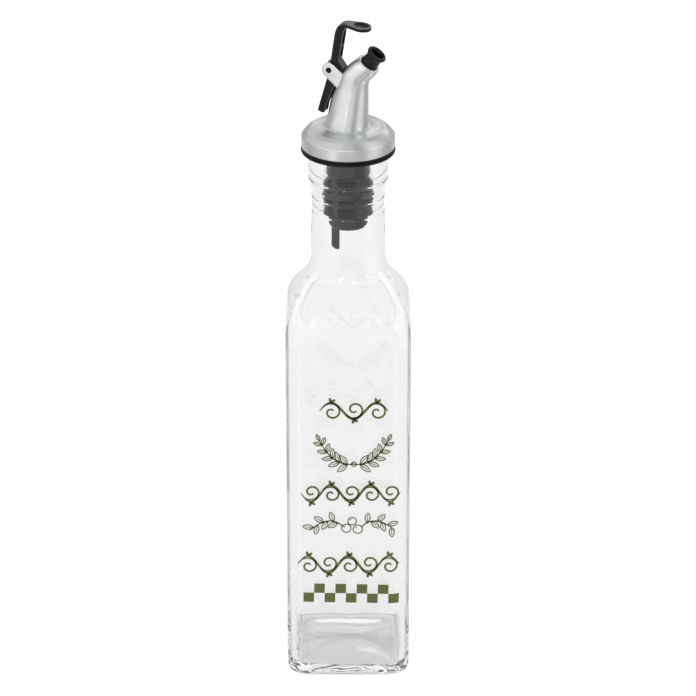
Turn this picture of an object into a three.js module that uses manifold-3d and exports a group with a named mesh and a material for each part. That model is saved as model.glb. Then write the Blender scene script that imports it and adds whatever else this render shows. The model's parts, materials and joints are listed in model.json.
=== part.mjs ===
// Square glass oil cruet with a steel pourer, modelled in millimetres with +Z up.
// The origin is the centre of the foot, and the printed front face looks towards -Y.

import * as THREE from 'three';
import { mergeVertices } from 'three/addons/utils/BufferGeometryUtils.js';
import Module from 'manifold-3d';

const degrees = THREE.MathUtils.degToRad;

// Glass bottle: a square body of 250 ml under a round neck
const BODY_HALF = 23.5;
const BODY_CORNER = 7.8;
const WALL = 3.0;
const HEEL_RADIUS = 3.0;
const SHOULDER_START = 141;
const SHOULDER_FULLNESS = 18;
const SHOULDER_COVE = 14;
const NECK_START = 170;
const NECK_RADIUS = 13.9;
const MOUTH_TOP = 210;
const MOUTH_RADIUS = 14.8;
const BORE_RADIUS = 9.5;
const FLOOR_HEIGHT = 4.6;
const FLOOR_CORNER = 4.8;
const PUSH_UP_HEIGHT = 2.2;
const PUSH_UP_HALF = 17.5;

// Pourer, measured from the underside of its collar and along its spout
const GASKET_THICKNESS = 1.5;
const GASKET_RADIUS = 17.45;
const COLLAR_BOTTOM = MOUTH_TOP + GASKET_THICKNESS;
const COLLAR_RADIUS = 17.2;
const COLLAR_SEAT = 8.35;
const POURER_TURN = degrees(-20);

// Spout: tilt of its mouth from upright, and the nozzle pressed into it
const SPOUT_TILT = degrees(37);
const SPOUT_MOUTH = new THREE.Vector2(8.2, 33.1);
const SPOUT_MOUTH_RADIUS = 4.4;
const NOZZLE_LENGTH = 5.3;
const NOZZLE_DEPTH = 3.5;
const NOZZLE_RADIUS = 3.25;
const NOZZLE_LIP_RADIUS = 3.85;
const NOZZLE_BORE = 2.4;
const NOZZLE_BORE_DEPTH = 7.5;
const FIT_GAP = 0.3;

// Lever and its hinge, drawn in the open position of the photograph
const PIVOT = new THREE.Vector2(-6.3, 29.7);
const OPEN_ANGLE = degrees(31);
const LEVER_WIDTH = 4.0;
const LEVER_WALL = 0.8;
const EAR_RADIUS = 2.8;
const EAR_THICKNESS = 1.2;
const EAR_LENGTH = 9;
const EAR_SLOPE = degrees(-42);
const PIN_RADIUS = 1.0;
const PIN_GAP = 0.1;
const PIN_DRILL_LENGTH = 12;
const HUB_CLEARANCE_RADIUS = 5.85;
const PAD_RADIUS = 3.7;
const PAD_THICKNESS = 1.1;
const PAD_SEAL = 0.45;
const PAD_SEAL_RADIUS = 2.9;

const wasm = await Module();
wasm.setup();

const finishes = {
  glass: new THREE.MeshStandardMaterial({ color: 0xe9efec, roughness: 0.05, metalness: 0 }),
  steel: new THREE.MeshStandardMaterial({ color: 0xc4c4c2, roughness: 0.35, metalness: 1 }),
  gloss: new THREE.MeshStandardMaterial({ color: 0x1c1c1e, roughness: 0.35, metalness: 0 }),
  seal: new THREE.MeshStandardMaterial({ color: 0x2c2b30, roughness: 0.6, metalness: 0 }),
  insert: new THREE.MeshStandardMaterial({ color: 0x3a393c, roughness: 0.5, metalness: 0 }),
};

const cruet = new THREE.Group();
const pourer = new THREE.Group();
pourer.position.z = COLLAR_BOTTOM;
pourer.rotation.z = POURER_TURN;
cruet.add(pourer);

function addPart(parent, name, geometry, finish) {
  const mesh = new THREE.Mesh(geometry, finish);
  mesh.name = name;
  parent.add(mesh);
  return mesh;
}

// Solids: geometry with its shared vertices merged, ready to be cut or joined
function toSolid(geometry) {
  const bare = geometry.clone();
  bare.deleteAttribute('normal');
  bare.deleteAttribute('uv');
  const merged = mergeVertices(bare, 1e-4);
  return new wasm.Manifold(new wasm.Mesh({
    numProp: 3,
    vertProperties: new Float32Array(merged.attributes.position.array),
    triVerts: new Uint32Array(merged.index.array),
  }));
}

function toGeometry(solid) {
  const mesh = solid.getMesh();
  const geometry = new THREE.BufferGeometry();
  geometry.setAttribute('position', new THREE.BufferAttribute(mesh.vertProperties, 3));
  geometry.setIndex(new THREE.BufferAttribute(mesh.triVerts, 1));
  geometry.computeVertexNormals();
  return geometry;
}

// A solid of revolution about Z from [radius, height] pairs that run up its outside
function revolve(profile, segments) {
  const points = profile.map(([radius, height]) => new THREE.Vector2(radius, height));
  return new THREE.LatheGeometry(points, segments).rotateX(Math.PI / 2);
}

// A closed skin over rings that each hold the same number of points, with a fan over each end
function skin(rings) {
  const count = rings[0].length;
  const positions = [];
  const indices = [];
  for (const ring of rings) {
    for (const point of ring) positions.push(point.x, point.y, point.z);
  }
  for (let row = 0; row < rings.length - 1; row += 1) {
    for (let column = 0; column < count; column += 1) {
      const next = (column + 1) % count;
      const a = row * count + column;
      const b = row * count + next;
      indices.push(a, b, b + count, a, b + count, a + count);
    }
  }
  for (const [row, flip] of [[0, true], [rings.length - 1, false]]) {
    const centre = new THREE.Vector3();
    for (const point of rings[row]) centre.addScaledVector(point, 1 / count);
    const hub = positions.length / 3;
    positions.push(centre.x, centre.y, centre.z);
    for (let column = 0; column < count; column += 1) {
      const a = row * count + column;
      const b = row * count + (column + 1) % count;
      if (flip) indices.push(hub, b, a);
      else indices.push(hub, a, b);
    }
  }
  const geometry = new THREE.BufferGeometry();
  geometry.setAttribute('position', new THREE.Float32BufferAttribute(positions, 3));
  geometry.setIndex(indices);
  geometry.computeVertexNormals();
  return geometry;
}

// Distance from the axis to a rounded square's edge in a direction
function squareReach(half, corner, direction) {
  const quarter = Math.PI / 2;
  const fromSide = Math.abs(direction - quarter * Math.round(direction / quarter));
  const flat = half - corner;
  const cos = Math.cos(fromSide);
  const sin = Math.sin(fromSide);
  if (half * Math.tan(fromSide) <= flat) return half / cos;
  const along = flat * (cos + sin);
  return along + Math.sqrt(Math.max(along * along - 2 * flat * flat + corner * corner, 0));
}

// Directions round the bottle, closer together on its corners than on its flat sides
function bottleDirections() {
  const flatEdge = Math.atan((BODY_HALF - BODY_CORNER) / BODY_HALF);
  const flatSteps = 3;
  const cornerSteps = 6;
  const quadrant = [];
  for (let i = 0; i < flatSteps; i += 1) quadrant.push((flatEdge * i) / flatSteps);
  for (let i = 0; i < cornerSteps; i += 1) {
    quadrant.push(flatEdge + ((Math.PI / 2 - 2 * flatEdge) * i) / cornerSteps);
  }
  for (let i = 0; i < flatSteps; i += 1) {
    quadrant.push(Math.PI / 2 - flatEdge + (flatEdge * i) / flatSteps);
  }
  return [0, 1, 2, 3].flatMap((side) => quadrant.map((angle) => angle + (side * Math.PI) / 2));
}

// Rounded square or round section of the bottle at one height
function bottleRing([height, half, corner]) {
  return bottleDirections().map((direction) => {
    const reach = squareReach(half, Math.min(corner, half), direction);
    return new THREE.Vector3(reach * Math.cos(direction), reach * Math.sin(direction), height);
  });
}

// Shoulder sections that turn from the square body to the round neck
function shoulderSections(bodyHalf, bodyCorner, neckRadius, drop, steps) {
  const start = SHOULDER_START - drop;
  const end = NECK_START - drop;
  const curve = new THREE.CubicBezierCurve(
    new THREE.Vector2(bodyHalf, start),
    new THREE.Vector2(bodyHalf, start + SHOULDER_FULLNESS),
    new THREE.Vector2(neckRadius, end - SHOULDER_COVE),
    new THREE.Vector2(neckRadius, end),
  );
  const sections = [];
  for (let i = 0; i <= steps; i += 1) {
    const point = curve.getPoint(i / steps);
    const corner = THREE.MathUtils.lerp(bodyCorner, point.x, i / steps);
    sections.push([point.y, point.x, corner]);
  }
  return sections;
}

// Outside of the bottle, from the rim of the push-up over the heel and shoulder to the mouth
function bottleOutside() {
  const sections = [[PUSH_UP_HEIGHT, 5, 5], [PUSH_UP_HEIGHT * 0.8, 10, 6]];
  sections.push([0, PUSH_UP_HALF, 4.5]);
  const heelSteps = 4;
  for (let i = 0; i <= heelSteps; i += 1) {
    const angle = ((Math.PI / 2) * i) / heelSteps;
    const half = BODY_HALF - HEEL_RADIUS * (1 - Math.sin(angle));
    const corner = BODY_CORNER - HEEL_RADIUS * (1 - Math.sin(angle));
    sections.push([HEEL_RADIUS * (1 - Math.cos(angle)), half, corner]);
  }
  sections.push(...shoulderSections(BODY_HALF, BODY_CORNER, NECK_RADIUS, 0, 10));
  const neck = [
    [13.6, 188.2], [13.5, 188.8], [13.25, 189.4], [13.25, 193.2], [13.5, 194.2], [13.3, 195.0],
    [13.45, 195.8], [14.3, 197.4], [14.4, 200.2], [MOUTH_RADIUS, 201.2], [MOUTH_RADIUS, 208.6],
    [14.4, 209.6], [13.6, MOUTH_TOP],
  ];
  for (const [radius, height] of neck) sections.push([height, radius, radius]);
  return sections;
}

// Inside of the bottle, from its floor up through the bore, open at the mouth
function bottleInside() {
  const half = BODY_HALF - WALL;
  const floorRise = 1.4;
  const sections = [
    [FLOOR_HEIGHT + floorRise, 6, 6], [FLOOR_HEIGHT + floorRise * 0.6, 12, 6],
    [FLOOR_HEIGHT, half - 2.5, FLOOR_CORNER - 2], [FLOOR_HEIGHT + 0.8, half - 0.8, FLOOR_CORNER - 0.5],
    [FLOOR_HEIGHT + 2.8, half, FLOOR_CORNER],
  ];
  sections.push(...shoulderSections(half, FLOOR_CORNER, BORE_RADIUS, 1.5, 8));
  for (const [radius, height] of [[BORE_RADIUS, 208.8], [9.9, 209.6], [10.8, MOUTH_TOP]]) {
    sections.push([height, radius, radius]);
  }
  return sections;
}

function makeBottle() {
  const rings = [...bottleOutside(), ...bottleInside().reverse()].map(bottleRing);
  return skin(rings);
}

// Soft seal between the mouth and the collar, with a groove round its edge
function makeGasket() {
  const inner = 8.6;
  return revolve([
    [inner, 0], [16.9, 0], [GASKET_RADIUS - 0.15, 0.2], [GASKET_RADIUS - 0.15, 0.55], [17.0, 0.75],
    [GASKET_RADIUS, 0.95], [GASKET_RADIUS, 1.3], [17.1, GASKET_THICKNESS], [inner, GASKET_THICKNESS],
    [inner, 0],
  ].map(([radius, height]) => [radius, height - GASKET_THICKNESS]), 48);
}

// Ribbed plug that grips the bore, with its widest skirt at the bottom
const PLUG_BOTTOM = -25.2;
const PLUG_ROOT = 8.15;
const PLUG_RIB = 9.2;

function makePlug() {
  const profile = [[0, PLUG_BOTTOM], [7.9, PLUG_BOTTOM], [PLUG_RIB - 0.1, PLUG_BOTTOM + 0.3]];
  profile.push([PLUG_RIB - 0.1, PLUG_BOTTOM + 0.9], [PLUG_ROOT, PLUG_BOTTOM + 3.2]);
  const ribs = [[-20.9, 8.8], [-18.8, 8.85], [-16.3, 8.95], [-13.2, PLUG_RIB]];
  for (const [height, radius] of ribs) {
    profile.push([PLUG_ROOT + 0.2, height - 0.7], [radius, height], [PLUG_ROOT + 0.2, height + 0.7]);
  }
  profile.push([7.45, -10.6], [7.45, -10.0], [PLUG_ROOT + 0.1, -9.3], [PLUG_ROOT + 0.1, 0], [0, 0]);
  return revolve(profile, 32);
}

// Hard insert under the plug, and the breather tube beside its middle
const INSERT_BOTTOM = -31.2;
const INSERT_RADIUS = 7.2;

function makeInsert() {
  return revolve([
    [0, INSERT_BOTTOM], [INSERT_RADIUS - 1.2, INSERT_BOTTOM], [INSERT_RADIUS - 0.3, INSERT_BOTTOM + 0.4],
    [INSERT_RADIUS, INSERT_BOTTOM + 1.3], [INSERT_RADIUS, PLUG_BOTTOM - 0.6], [INSERT_RADIUS - 0.4, PLUG_BOTTOM],
    [0, PLUG_BOTTOM],
  ], 32);
}

function makeBreather() {
  const outer = 1.45;
  const bore = 0.8;
  const length = 9.8;
  const slant = 0.5;
  const tube = revolve([[bore, -length], [outer, -length], [outer, 0], [bore, 0], [bore, -length]], 16);
  const positions = tube.attributes.position;
  for (let i = 0; i < positions.count; i += 1) {
    const atEnd = positions.getZ(i) < -length / 2;
    if (atEnd) positions.setZ(i, positions.getZ(i) - slant * positions.getX(i));
  }
  return tube;
}

// Steel collar: an upright band, a domed cone, a ridge, and a shallow dish round the spout's foot
function makeCollar() {
  return revolve([
    [0, 0], [16.8, 0], [COLLAR_RADIUS, 0.35], [COLLAR_RADIUS, 4.3], [16.95, 4.75], [15.4, 6.45],
    [13.9, 7.45], [13.1, 7.7], [12.5, 7.55], [10.4, 7.5], [8.9, 7.8], [8.4, COLLAR_SEAT], [0, COLLAR_SEAT],
  ], 48);
}

// Sections of the spout body: centre along the spout and up, tilt, and half sizes along and across
const SPOUT_SECTIONS = [
  { along: -0.55, up: COLLAR_SEAT, tilt: 0, length: 8.12, width: 8.05 },
  { along: -0.4, up: 10, tilt: 0, length: 7.9, width: 7.85 },
  { along: 0.1, up: 13, tilt: 0, length: 7.42, width: 7.3 },
  { along: 0.5, up: 16.8, tilt: 0, length: 7.05, width: 6.6 },
  { along: 1.0, up: 20.4, tilt: 1, length: 6.58, width: 6.0 },
  { along: 1.95, up: 24.3, tilt: 4, length: 5.78, width: 5.3 },
  { along: 2.95, up: 27.4, tilt: 12, length: 5.55, width: 5.0 },
  { along: 4.7, up: 29.45, tilt: 21, length: 5.14, width: 4.8 },
  { along: 6.6, up: 31.35, tilt: 31, length: 4.75, width: 4.6 },
  { along: 7.75, up: 32.5, tilt: 37, length: 4.28, width: 4.28 },
];

function spoutRing({ along, up, tilt, length, width }, count) {
  const lean = degrees(tilt);
  const ring = [];
  for (let i = 0; i < count; i += 1) {
    const angle = (2 * Math.PI * i) / count;
    const reach = length * Math.cos(angle);
    const across = width * Math.sin(angle);
    ring.push(new THREE.Vector3(along + reach * Math.cos(lean), across, up - reach * Math.sin(lean)));
  }
  return ring;
}

// Smooth run of rings through the sections, then a bead round the mouth
function spoutRings(count) {
  const path = new THREE.SplineCurve(SPOUT_SECTIONS.map((s) => new THREE.Vector2(s.along, s.up)));
  const sizes = new THREE.SplineCurve(SPOUT_SECTIONS.map((s) => new THREE.Vector2(s.length, s.width)));
  const tilts = new THREE.SplineCurve(SPOUT_SECTIONS.map((s, i) => new THREE.Vector2(s.tilt, i)));
  const steps = 2 * (SPOUT_SECTIONS.length - 1);
  const rings = [];
  for (let i = 0; i <= steps; i += 1) {
    const centre = path.getPoint(i / steps);
    const size = sizes.getPoint(i / steps);
    const tilt = tilts.getPoint(i / steps).x;
    rings.push(spoutRing({ along: centre.x, up: centre.y, tilt, length: size.x, width: size.y }, count));
  }
  const axis = spoutAxis();
  for (const [back, radius] of [[0.55, SPOUT_MOUTH_RADIUS], [0.2, SPOUT_MOUTH_RADIUS + 0.05], [0, 4.0]]) {
    const centre = SPOUT_MOUTH.clone().addScaledVector(axis, -back);
    const tilt = THREE.MathUtils.radToDeg(SPOUT_TILT);
    rings.push(spoutRing({ along: centre.x, up: centre.y, tilt, length: radius, width: radius }, count));
  }
  return rings;
}

function spoutAxis() {
  return new THREE.Vector2(Math.sin(SPOUT_TILT), Math.cos(SPOUT_TILT));
}

// Turns geometry made about +Z so that it runs along the spout's axis from a point on it
function placeOnSpout(geometry, distance) {
  const place = SPOUT_MOUTH.clone().addScaledVector(spoutAxis(), distance);
  return geometry.rotateY(SPOUT_TILT).translate(place.x, 0, place.y);
}

// A cylinder across the pourer, about the hinge
function acrossHinge(radius, width, segments) {
  return new THREE.CylinderGeometry(radius, radius, width, segments).translate(PIVOT.x, 0, PIVOT.y);
}

// A flat outline in the pourer's own plane, given thickness across it
function plate(shape, from, to, curveSegments = 8) {
  const geometry = new THREE.ExtrudeGeometry(shape, { depth: to - from, bevelEnabled: false, curveSegments });
  return geometry.rotateX(Math.PI / 2).translate(0, to, 0);
}

function earShape() {
  const shape = new THREE.Shape();
  const turn = EAR_SLOPE - Math.PI / 2;
  shape.absarc(PIVOT.x, PIVOT.y, EAR_RADIUS, turn, turn - Math.PI, true);
  const run = new THREE.Vector2(Math.cos(EAR_SLOPE), Math.sin(EAR_SLOPE)).multiplyScalar(EAR_LENGTH);
  const side = new THREE.Vector2(-Math.sin(EAR_SLOPE), Math.cos(EAR_SLOPE)).multiplyScalar(EAR_RADIUS);
  shape.lineTo(PIVOT.x + run.x + side.x, PIVOT.y + run.y + side.y);
  shape.lineTo(PIVOT.x + run.x - side.x, PIVOT.y + run.y - side.y);
  return shape;
}

// Spout body with its two hinge ears, the slot for the lever's hub and the nozzle's socket
function makeSpoutBody() {
  const inner = LEVER_WIDTH / 2 + FIT_GAP;
  let solid = toSolid(skin(spoutRings(36)));
  for (const side of [-1, 1]) {
    const from = side < 0 ? -inner - EAR_THICKNESS : inner;
    solid = solid.add(toSolid(plate(earShape(), from, from + EAR_THICKNESS, 12)));
  }
  solid = solid.subtract(toSolid(acrossHinge(HUB_CLEARANCE_RADIUS, 2 * inner, 48)));
  solid = solid.subtract(toSolid(acrossHinge(PIN_RADIUS + PIN_GAP, PIN_DRILL_LENGTH, 32)));
  const socket = revolve([
    [0, 0], [NOZZLE_RADIUS + FIT_GAP, 0], [NOZZLE_RADIUS + FIT_GAP, NOZZLE_DEPTH + 3], [0, NOZZLE_DEPTH + 3],
  ], 32);
  return toGeometry(solid.subtract(toSolid(placeOnSpout(socket, -NOZZLE_DEPTH - FIT_GAP))));
}

// Soft black nozzle: a tube with a flared lip and a blind bore
function makeNozzle() {
  const top = NOZZLE_LENGTH;
  return placeOnSpout(revolve([
    [0, -NOZZLE_DEPTH], [NOZZLE_RADIUS, -NOZZLE_DEPTH], [NOZZLE_RADIUS, 0.6], [NOZZLE_RADIUS - 0.2, 1.6],
    [NOZZLE_RADIUS - 0.1, top - 2.0], [NOZZLE_LIP_RADIUS - 0.1, top - 1.3], [NOZZLE_LIP_RADIUS, top - 0.7],
    [NOZZLE_LIP_RADIUS - 0.3, top - 0.1], [NOZZLE_LIP_RADIUS - 0.7, top], [NOZZLE_BORE + 0.3, top - 0.1],
    [NOZZLE_BORE, top - 0.6], [NOZZLE_BORE, top - NOZZLE_BORE_DEPTH], [0, top - NOZZLE_BORE_DEPTH],
  ], 32), 0);
}

function makePin() {
  const end = LEVER_WIDTH / 2 + FIT_GAP + EAR_THICKNESS + 0.15;
  const dimple = 0.3;
  const half = [[0.45, end - dimple], [0.75, end], [PIN_RADIUS, end - 0.2]];
  const profile = [[0, dimple - end]];
  for (const [radius, place] of half) profile.push([radius, -place]);
  for (const [radius, place] of half.reverse()) profile.push([radius, place]);
  profile.push([0, end - dimple]);
  return revolve(profile, 20).rotateX(Math.PI / 2).translate(PIVOT.x, 0, PIVOT.y);
}

// Underside of the pad's seal: on the nozzle's lip when closed, swung back by the open angle
function padCentre() {
  const closed = SPOUT_MOUTH.clone().addScaledVector(spoutAxis(), NOZZLE_LENGTH + FIT_GAP);
  return closed.rotateAround(PIVOT, OPEN_ANGLE);
}

// Point on the pad, by its distance towards the tip and its height over the underside of the seal
function onPad(distance, height) {
  const lean = SPOUT_TILT - OPEN_ANGLE;
  const centre = padCentre();
  return new THREE.Vector2(
    centre.x + distance * Math.cos(lean) + height * Math.sin(lean),
    centre.y - distance * Math.sin(lean) + height * Math.cos(lean),
  );
}

// Side view of the lever: arm up to the pad, hub round the pin, and tail down behind the body
function leverShape() {
  const padTop = onPad(0, PAD_SEAL + PAD_THICKNESS);
  const bendTop = onPad(-5.4, PAD_SEAL + PAD_THICKNESS);
  const bendUnder = onPad(-4.5, PAD_SEAL);
  const padUnder = onPad(0, PAD_SEAL);
  const hub = EAR_RADIUS - 0.25;
  const shape = new THREE.Shape();
  shape.moveTo(padTop.x, padTop.y);
  shape.lineTo(bendTop.x, bendTop.y);
  shape.quadraticCurveTo(-3.3, 47.6, -4.4, 42.8);
  shape.lineTo(-6.15, 33.2);
  shape.absarc(PIVOT.x, PIVOT.y, hub, degrees(104), degrees(248), false);
  shape.lineTo(-11.2, 13.5);
  shape.quadraticCurveTo(-11.1, 12.8, -10.5, 12.6);
  shape.lineTo(-9.2, 12.25);
  shape.quadraticCurveTo(-8.5, 12.3, -8.3, 13.1);
  shape.lineTo(-7.8, 15.7);
  shape.lineTo(-4.9, 22.8);
  shape.lineTo(-1.75, 28.7);
  shape.lineTo(-0.95, 30.5);
  shape.lineTo(-3.2, 33.2);
  shape.lineTo(-1.7, 43.2);
  shape.quadraticCurveTo(-1.4, 45.6, bendUnder.x, bendUnder.y);
  shape.lineTo(padUnder.x, padUnder.y);
  return shape;
}

// The pad from above: a round end that narrows to the arm's width
function padShape() {
  const neck = LEVER_WIDTH / 2;
  const reach = 6;
  const flare = Math.atan((PAD_RADIUS - neck) / reach) + degrees(6);
  const shape = new THREE.Shape();
  shape.moveTo(-reach, -neck);
  shape.absarc(0, 0, PAD_RADIUS, -Math.PI / 2 - flare, Math.PI / 2 + flare, false);
  shape.lineTo(-reach, neck);
  return shape;
}

function makePad() {
  const geometry = new THREE.ExtrudeGeometry(padShape(), {
    depth: PAD_THICKNESS, bevelEnabled: false, curveSegments: 28,
  });
  const dish = new THREE.SphereGeometry(1, 20, 10);
  dish.scale(2.8, 2.6, 0.65).translate(-0.2, 0, PAD_SEAL + PAD_THICKNESS + 0.1);
  const seal = revolve([[0, 0], [PAD_SEAL_RADIUS, 0], [PAD_SEAL_RADIUS, PAD_SEAL * 2], [0, PAD_SEAL * 2]], 28);
  const centre = padCentre();
  const plateSolid = toSolid(geometry.translate(0, 0, PAD_SEAL)).add(toSolid(seal));
  const solid = plateSolid.subtract(toSolid(dish));
  return toGeometry(solid).rotateY(SPOUT_TILT - OPEN_ANGLE).translate(centre.x, 0, centre.y);
}

// Hollows that leave the arm and the tail as channels, open towards the spout
function channelShape(points) {
  return new THREE.Shape(points.map(([along, up]) => new THREE.Vector2(along, up)));
}

function makeLever() {
  const half = LEVER_WIDTH / 2;
  const inside = half - LEVER_WALL;
  let solid = toSolid(plate(leverShape(), -half, half, 10)).add(toSolid(makePad()));
  const web = LEVER_WALL;
  const armLow = channelShape([[-5.9 + web, 34.4], [1, 34.4], [1, 38.4], [-5.15 + web, 38.4]]);
  const armHigh = channelShape([[-5.0 + web, 39.2], [1, 39.2], [1, 44.9], [-3.85 + web, 44.9]]);
  const tail = channelShape([[-7.9 + web, 25.2], [-12.1 + web, 10], [-4, 10], [-3.2, 25.2]]);
  for (const hollow of [armLow, armHigh, tail]) {
    solid = solid.subtract(toSolid(plate(hollow, -inside, inside)));
  }
  solid = solid.subtract(toSolid(acrossHinge(PIN_RADIUS + PIN_GAP, PIN_DRILL_LENGTH, 32)));
  return toGeometry(solid);
}

addPart(cruet, 'bottle', makeBottle(), finishes.glass);
addPart(pourer, 'gasket', makeGasket(), finishes.seal);
addPart(pourer, 'stopper_plug', makePlug(), finishes.seal);
addPart(pourer, 'core_insert', makeInsert(), finishes.insert);
const breather = addPart(pourer, 'breather_tube', makeBreather(), finishes.insert);
breather.position.set(-5.2, 0, INSERT_BOTTOM);
addPart(pourer, 'collar', makeCollar(), finishes.steel);
addPart(pourer, 'spout_body', makeSpoutBody(), finishes.steel);
addPart(pourer, 'nozzle', makeNozzle(), finishes.gloss);
addPart(pourer, 'hinge_pin', makePin(), finishes.gloss);
addPart(pourer, 'lever', makeLever(), finishes.gloss);

export default cruet;
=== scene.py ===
"""Looks of a square glass oil cruet with a printed front and a hinged steel pourer, round its CAD frame.

Sizes are in millimetres unless a name says otherwise, and every mesh is turned to metres as it is
finished. The pourer is drawn in its own plane: along its spout, across it and up from its collar.
"""

from __future__ import annotations

import json
import logging
import math
from dataclasses import dataclass
from enum import Enum
from typing import Callable, Iterable, Sequence

import bmesh
import bpy
from mathutils import Matrix, Vector, noise
from mathutils.geometry import interpolate_bezier


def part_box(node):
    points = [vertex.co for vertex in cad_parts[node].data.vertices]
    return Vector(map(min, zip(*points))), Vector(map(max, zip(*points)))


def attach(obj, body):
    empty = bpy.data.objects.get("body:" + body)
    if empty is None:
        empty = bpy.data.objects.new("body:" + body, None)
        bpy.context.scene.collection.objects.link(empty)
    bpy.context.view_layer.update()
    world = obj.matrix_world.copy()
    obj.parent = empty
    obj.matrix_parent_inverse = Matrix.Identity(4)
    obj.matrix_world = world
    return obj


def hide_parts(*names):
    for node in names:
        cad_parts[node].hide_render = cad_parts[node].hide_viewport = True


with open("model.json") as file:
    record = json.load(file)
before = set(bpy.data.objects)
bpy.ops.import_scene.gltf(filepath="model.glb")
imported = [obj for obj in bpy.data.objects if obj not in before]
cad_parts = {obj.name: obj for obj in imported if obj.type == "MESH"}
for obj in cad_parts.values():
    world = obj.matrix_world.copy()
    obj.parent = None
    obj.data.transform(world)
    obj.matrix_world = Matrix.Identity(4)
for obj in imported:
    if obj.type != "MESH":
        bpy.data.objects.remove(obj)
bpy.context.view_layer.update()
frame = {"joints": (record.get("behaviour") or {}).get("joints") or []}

LOG = logging.getLogger("cruet")
MM = 0.001
IMAGE_SIDE = 696
SENSOR_MM = 36.0
MERGE = 1e-4
SHARP_DEGREES = 32.0
# A hole's cutter of this length goes right through the pourer.
RIGHT_THROUGH = 12.0

Mesh = bmesh.types.BMesh
Tree = bpy.types.NodeTree
Socket = bpy.types.NodeSocket
Outline = Sequence[Sequence[float]]
Stops = Sequence[tuple[float, float]]


def linear(code: str) -> tuple[float, float, float, float]:
    """Turn an sRGB hex colour into Blender's linear colour.

    Args:
        code: Colour as "#rrggbb".

    Returns:
        Red, green, blue and an alpha of one.
    """

    def channel(text: str) -> float:
        """Turn two hex digits into a linear value."""
        value = int(text, 16) / 255
        return value / 12.92 if value <= 0.04045 else ((value + 0.055) / 1.055) ** 2.4

    return (channel(code[1:3]), channel(code[3:5]), channel(code[5:7]), 1.0)


def add_node(
    tree: Tree, kind: str, inputs: dict | None = None, stops: Stops = (), **settings: object
) -> bpy.types.Node:
    """Add a node with its settings, and set or link its inputs.

    Args:
        tree: Node tree that gets the node.
        kind: Blender's name for the kind of node.
        inputs: Values, or sockets to link, by the name or number of the input.
        stops: (share, level) of each stop, where the node is a ramp.
        **settings: Properties of the node itself.

    Returns:
        The new node.
    """
    node = tree.nodes.new(kind)
    for name, value in settings.items():
        setattr(node, name, value)
    for name, value in (inputs or {}).items():
        if isinstance(value, Socket):
            tree.links.new(value, node.inputs[name])
        else:
            node.inputs[name].default_value = value
    for index, (share, level) in enumerate(stops):
        elements = node.color_ramp.elements
        stop = elements[index] if index < 2 else elements.new(share)
        stop.position = share
        stop.color = (level, level, level, 1.0)
    return node


def centred(stops: Stops, reach: float = 1.0) -> list[tuple[float, float]]:
    """Turn stops that run from -reach to reach into stops from 0 to 1."""
    return [(0.5 + where / (2 * reach), level) for where, level in stops]


def per_metre(size_mm: float) -> float:
    """Give the texture scale at which one feature is this many millimetres."""
    return 1 / (size_mm * MM)


@dataclass(frozen=True)
class Finish:
    """A surface finish, known by the name of its material."""

    name: str

    def material(self) -> bpy.types.Material:
        """Make this finish's material, or hand out the one that is already made.

        Returns:
            The material.
        """
        known = bpy.data.materials.get(self.name)
        if known:
            return known
        made = bpy.data.materials.new(self.name)
        made.use_nodes = True
        tree = made.node_tree
        tree.nodes.clear()
        place = add_node(tree, "ShaderNodeTexCoord").outputs["Object"]
        shader = add_node(tree, "ShaderNodeBsdfPrincipled", self.surface(tree, place))
        output = add_node(tree, "ShaderNodeOutputMaterial", {"Surface": shader.outputs[0]})
        self.fill(tree, output)
        return made

    def surface(self, tree: Tree, place: Socket) -> dict[str, object]:
        """Add the patterns of this finish.

        Args:
            tree: The material's nodes.
            place: Object coordinates in metres.

        Returns:
            What goes into the shader, by the name of its input.
        """
        raise NotImplementedError

    def fill(self, tree: Tree, output: bpy.types.Node) -> None:
        """Leave the inside as it is, because most finishes can't be seen into."""


@dataclass(frozen=True)
class ContainerGlass(Finish):
    """Soda-lime glass, pressed and blown: clear, with slow waves from the mould and a faint green depth."""

    name: str = "soda_lime_glass_blown"
    refraction: float = 1.52
    glare: float = 0.2
    wave_mm: float = 16.0
    wave_height_mm: float = 0.05
    depth_colour: tuple[float, float, float, float] = (0.916, 0.936, 0.926, 1.0)
    depth_per_metre: float = 14.0

    def surface(self, tree: Tree, place: Socket) -> dict[str, object]:
        """Add the waves of the clear surface.

        Args:
            tree: The material's nodes.
            place: Object coordinates in metres.

        Returns:
            What goes into the shader, by the name of its input.
        """
        waves = add_node(
            tree, "ShaderNodeTexNoise", {"Vector": place, "Scale": per_metre(self.wave_mm), "Detail": 1.0}
        )
        bump = add_node(
            tree,
            "ShaderNodeBump",
            {"Height": waves.outputs["Fac"], "Strength": 1.0, "Distance": self.wave_height_mm * MM},
        )
        return {
            "Base Color": (1.0, 1.0, 1.0, 1.0),
            "Roughness": 0.0,
            "IOR": self.refraction,
            "Specular IOR Level": self.glare,
            "Transmission Weight": 1.0,
            "Normal": bump.outputs["Normal"],
        }

    def fill(self, tree: Tree, output: bpy.types.Node) -> None:
        """Add the tint that deepens with the glass.

        Args:
            tree: The material's nodes.
            output: The material's output node.
        """
        depth = add_node(
            tree, "ShaderNodeVolumeAbsorption", {"Color": self.depth_colour, "Density": self.depth_per_metre}
        )
        tree.links.new(depth.outputs[0], output.inputs["Volume"])


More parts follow.
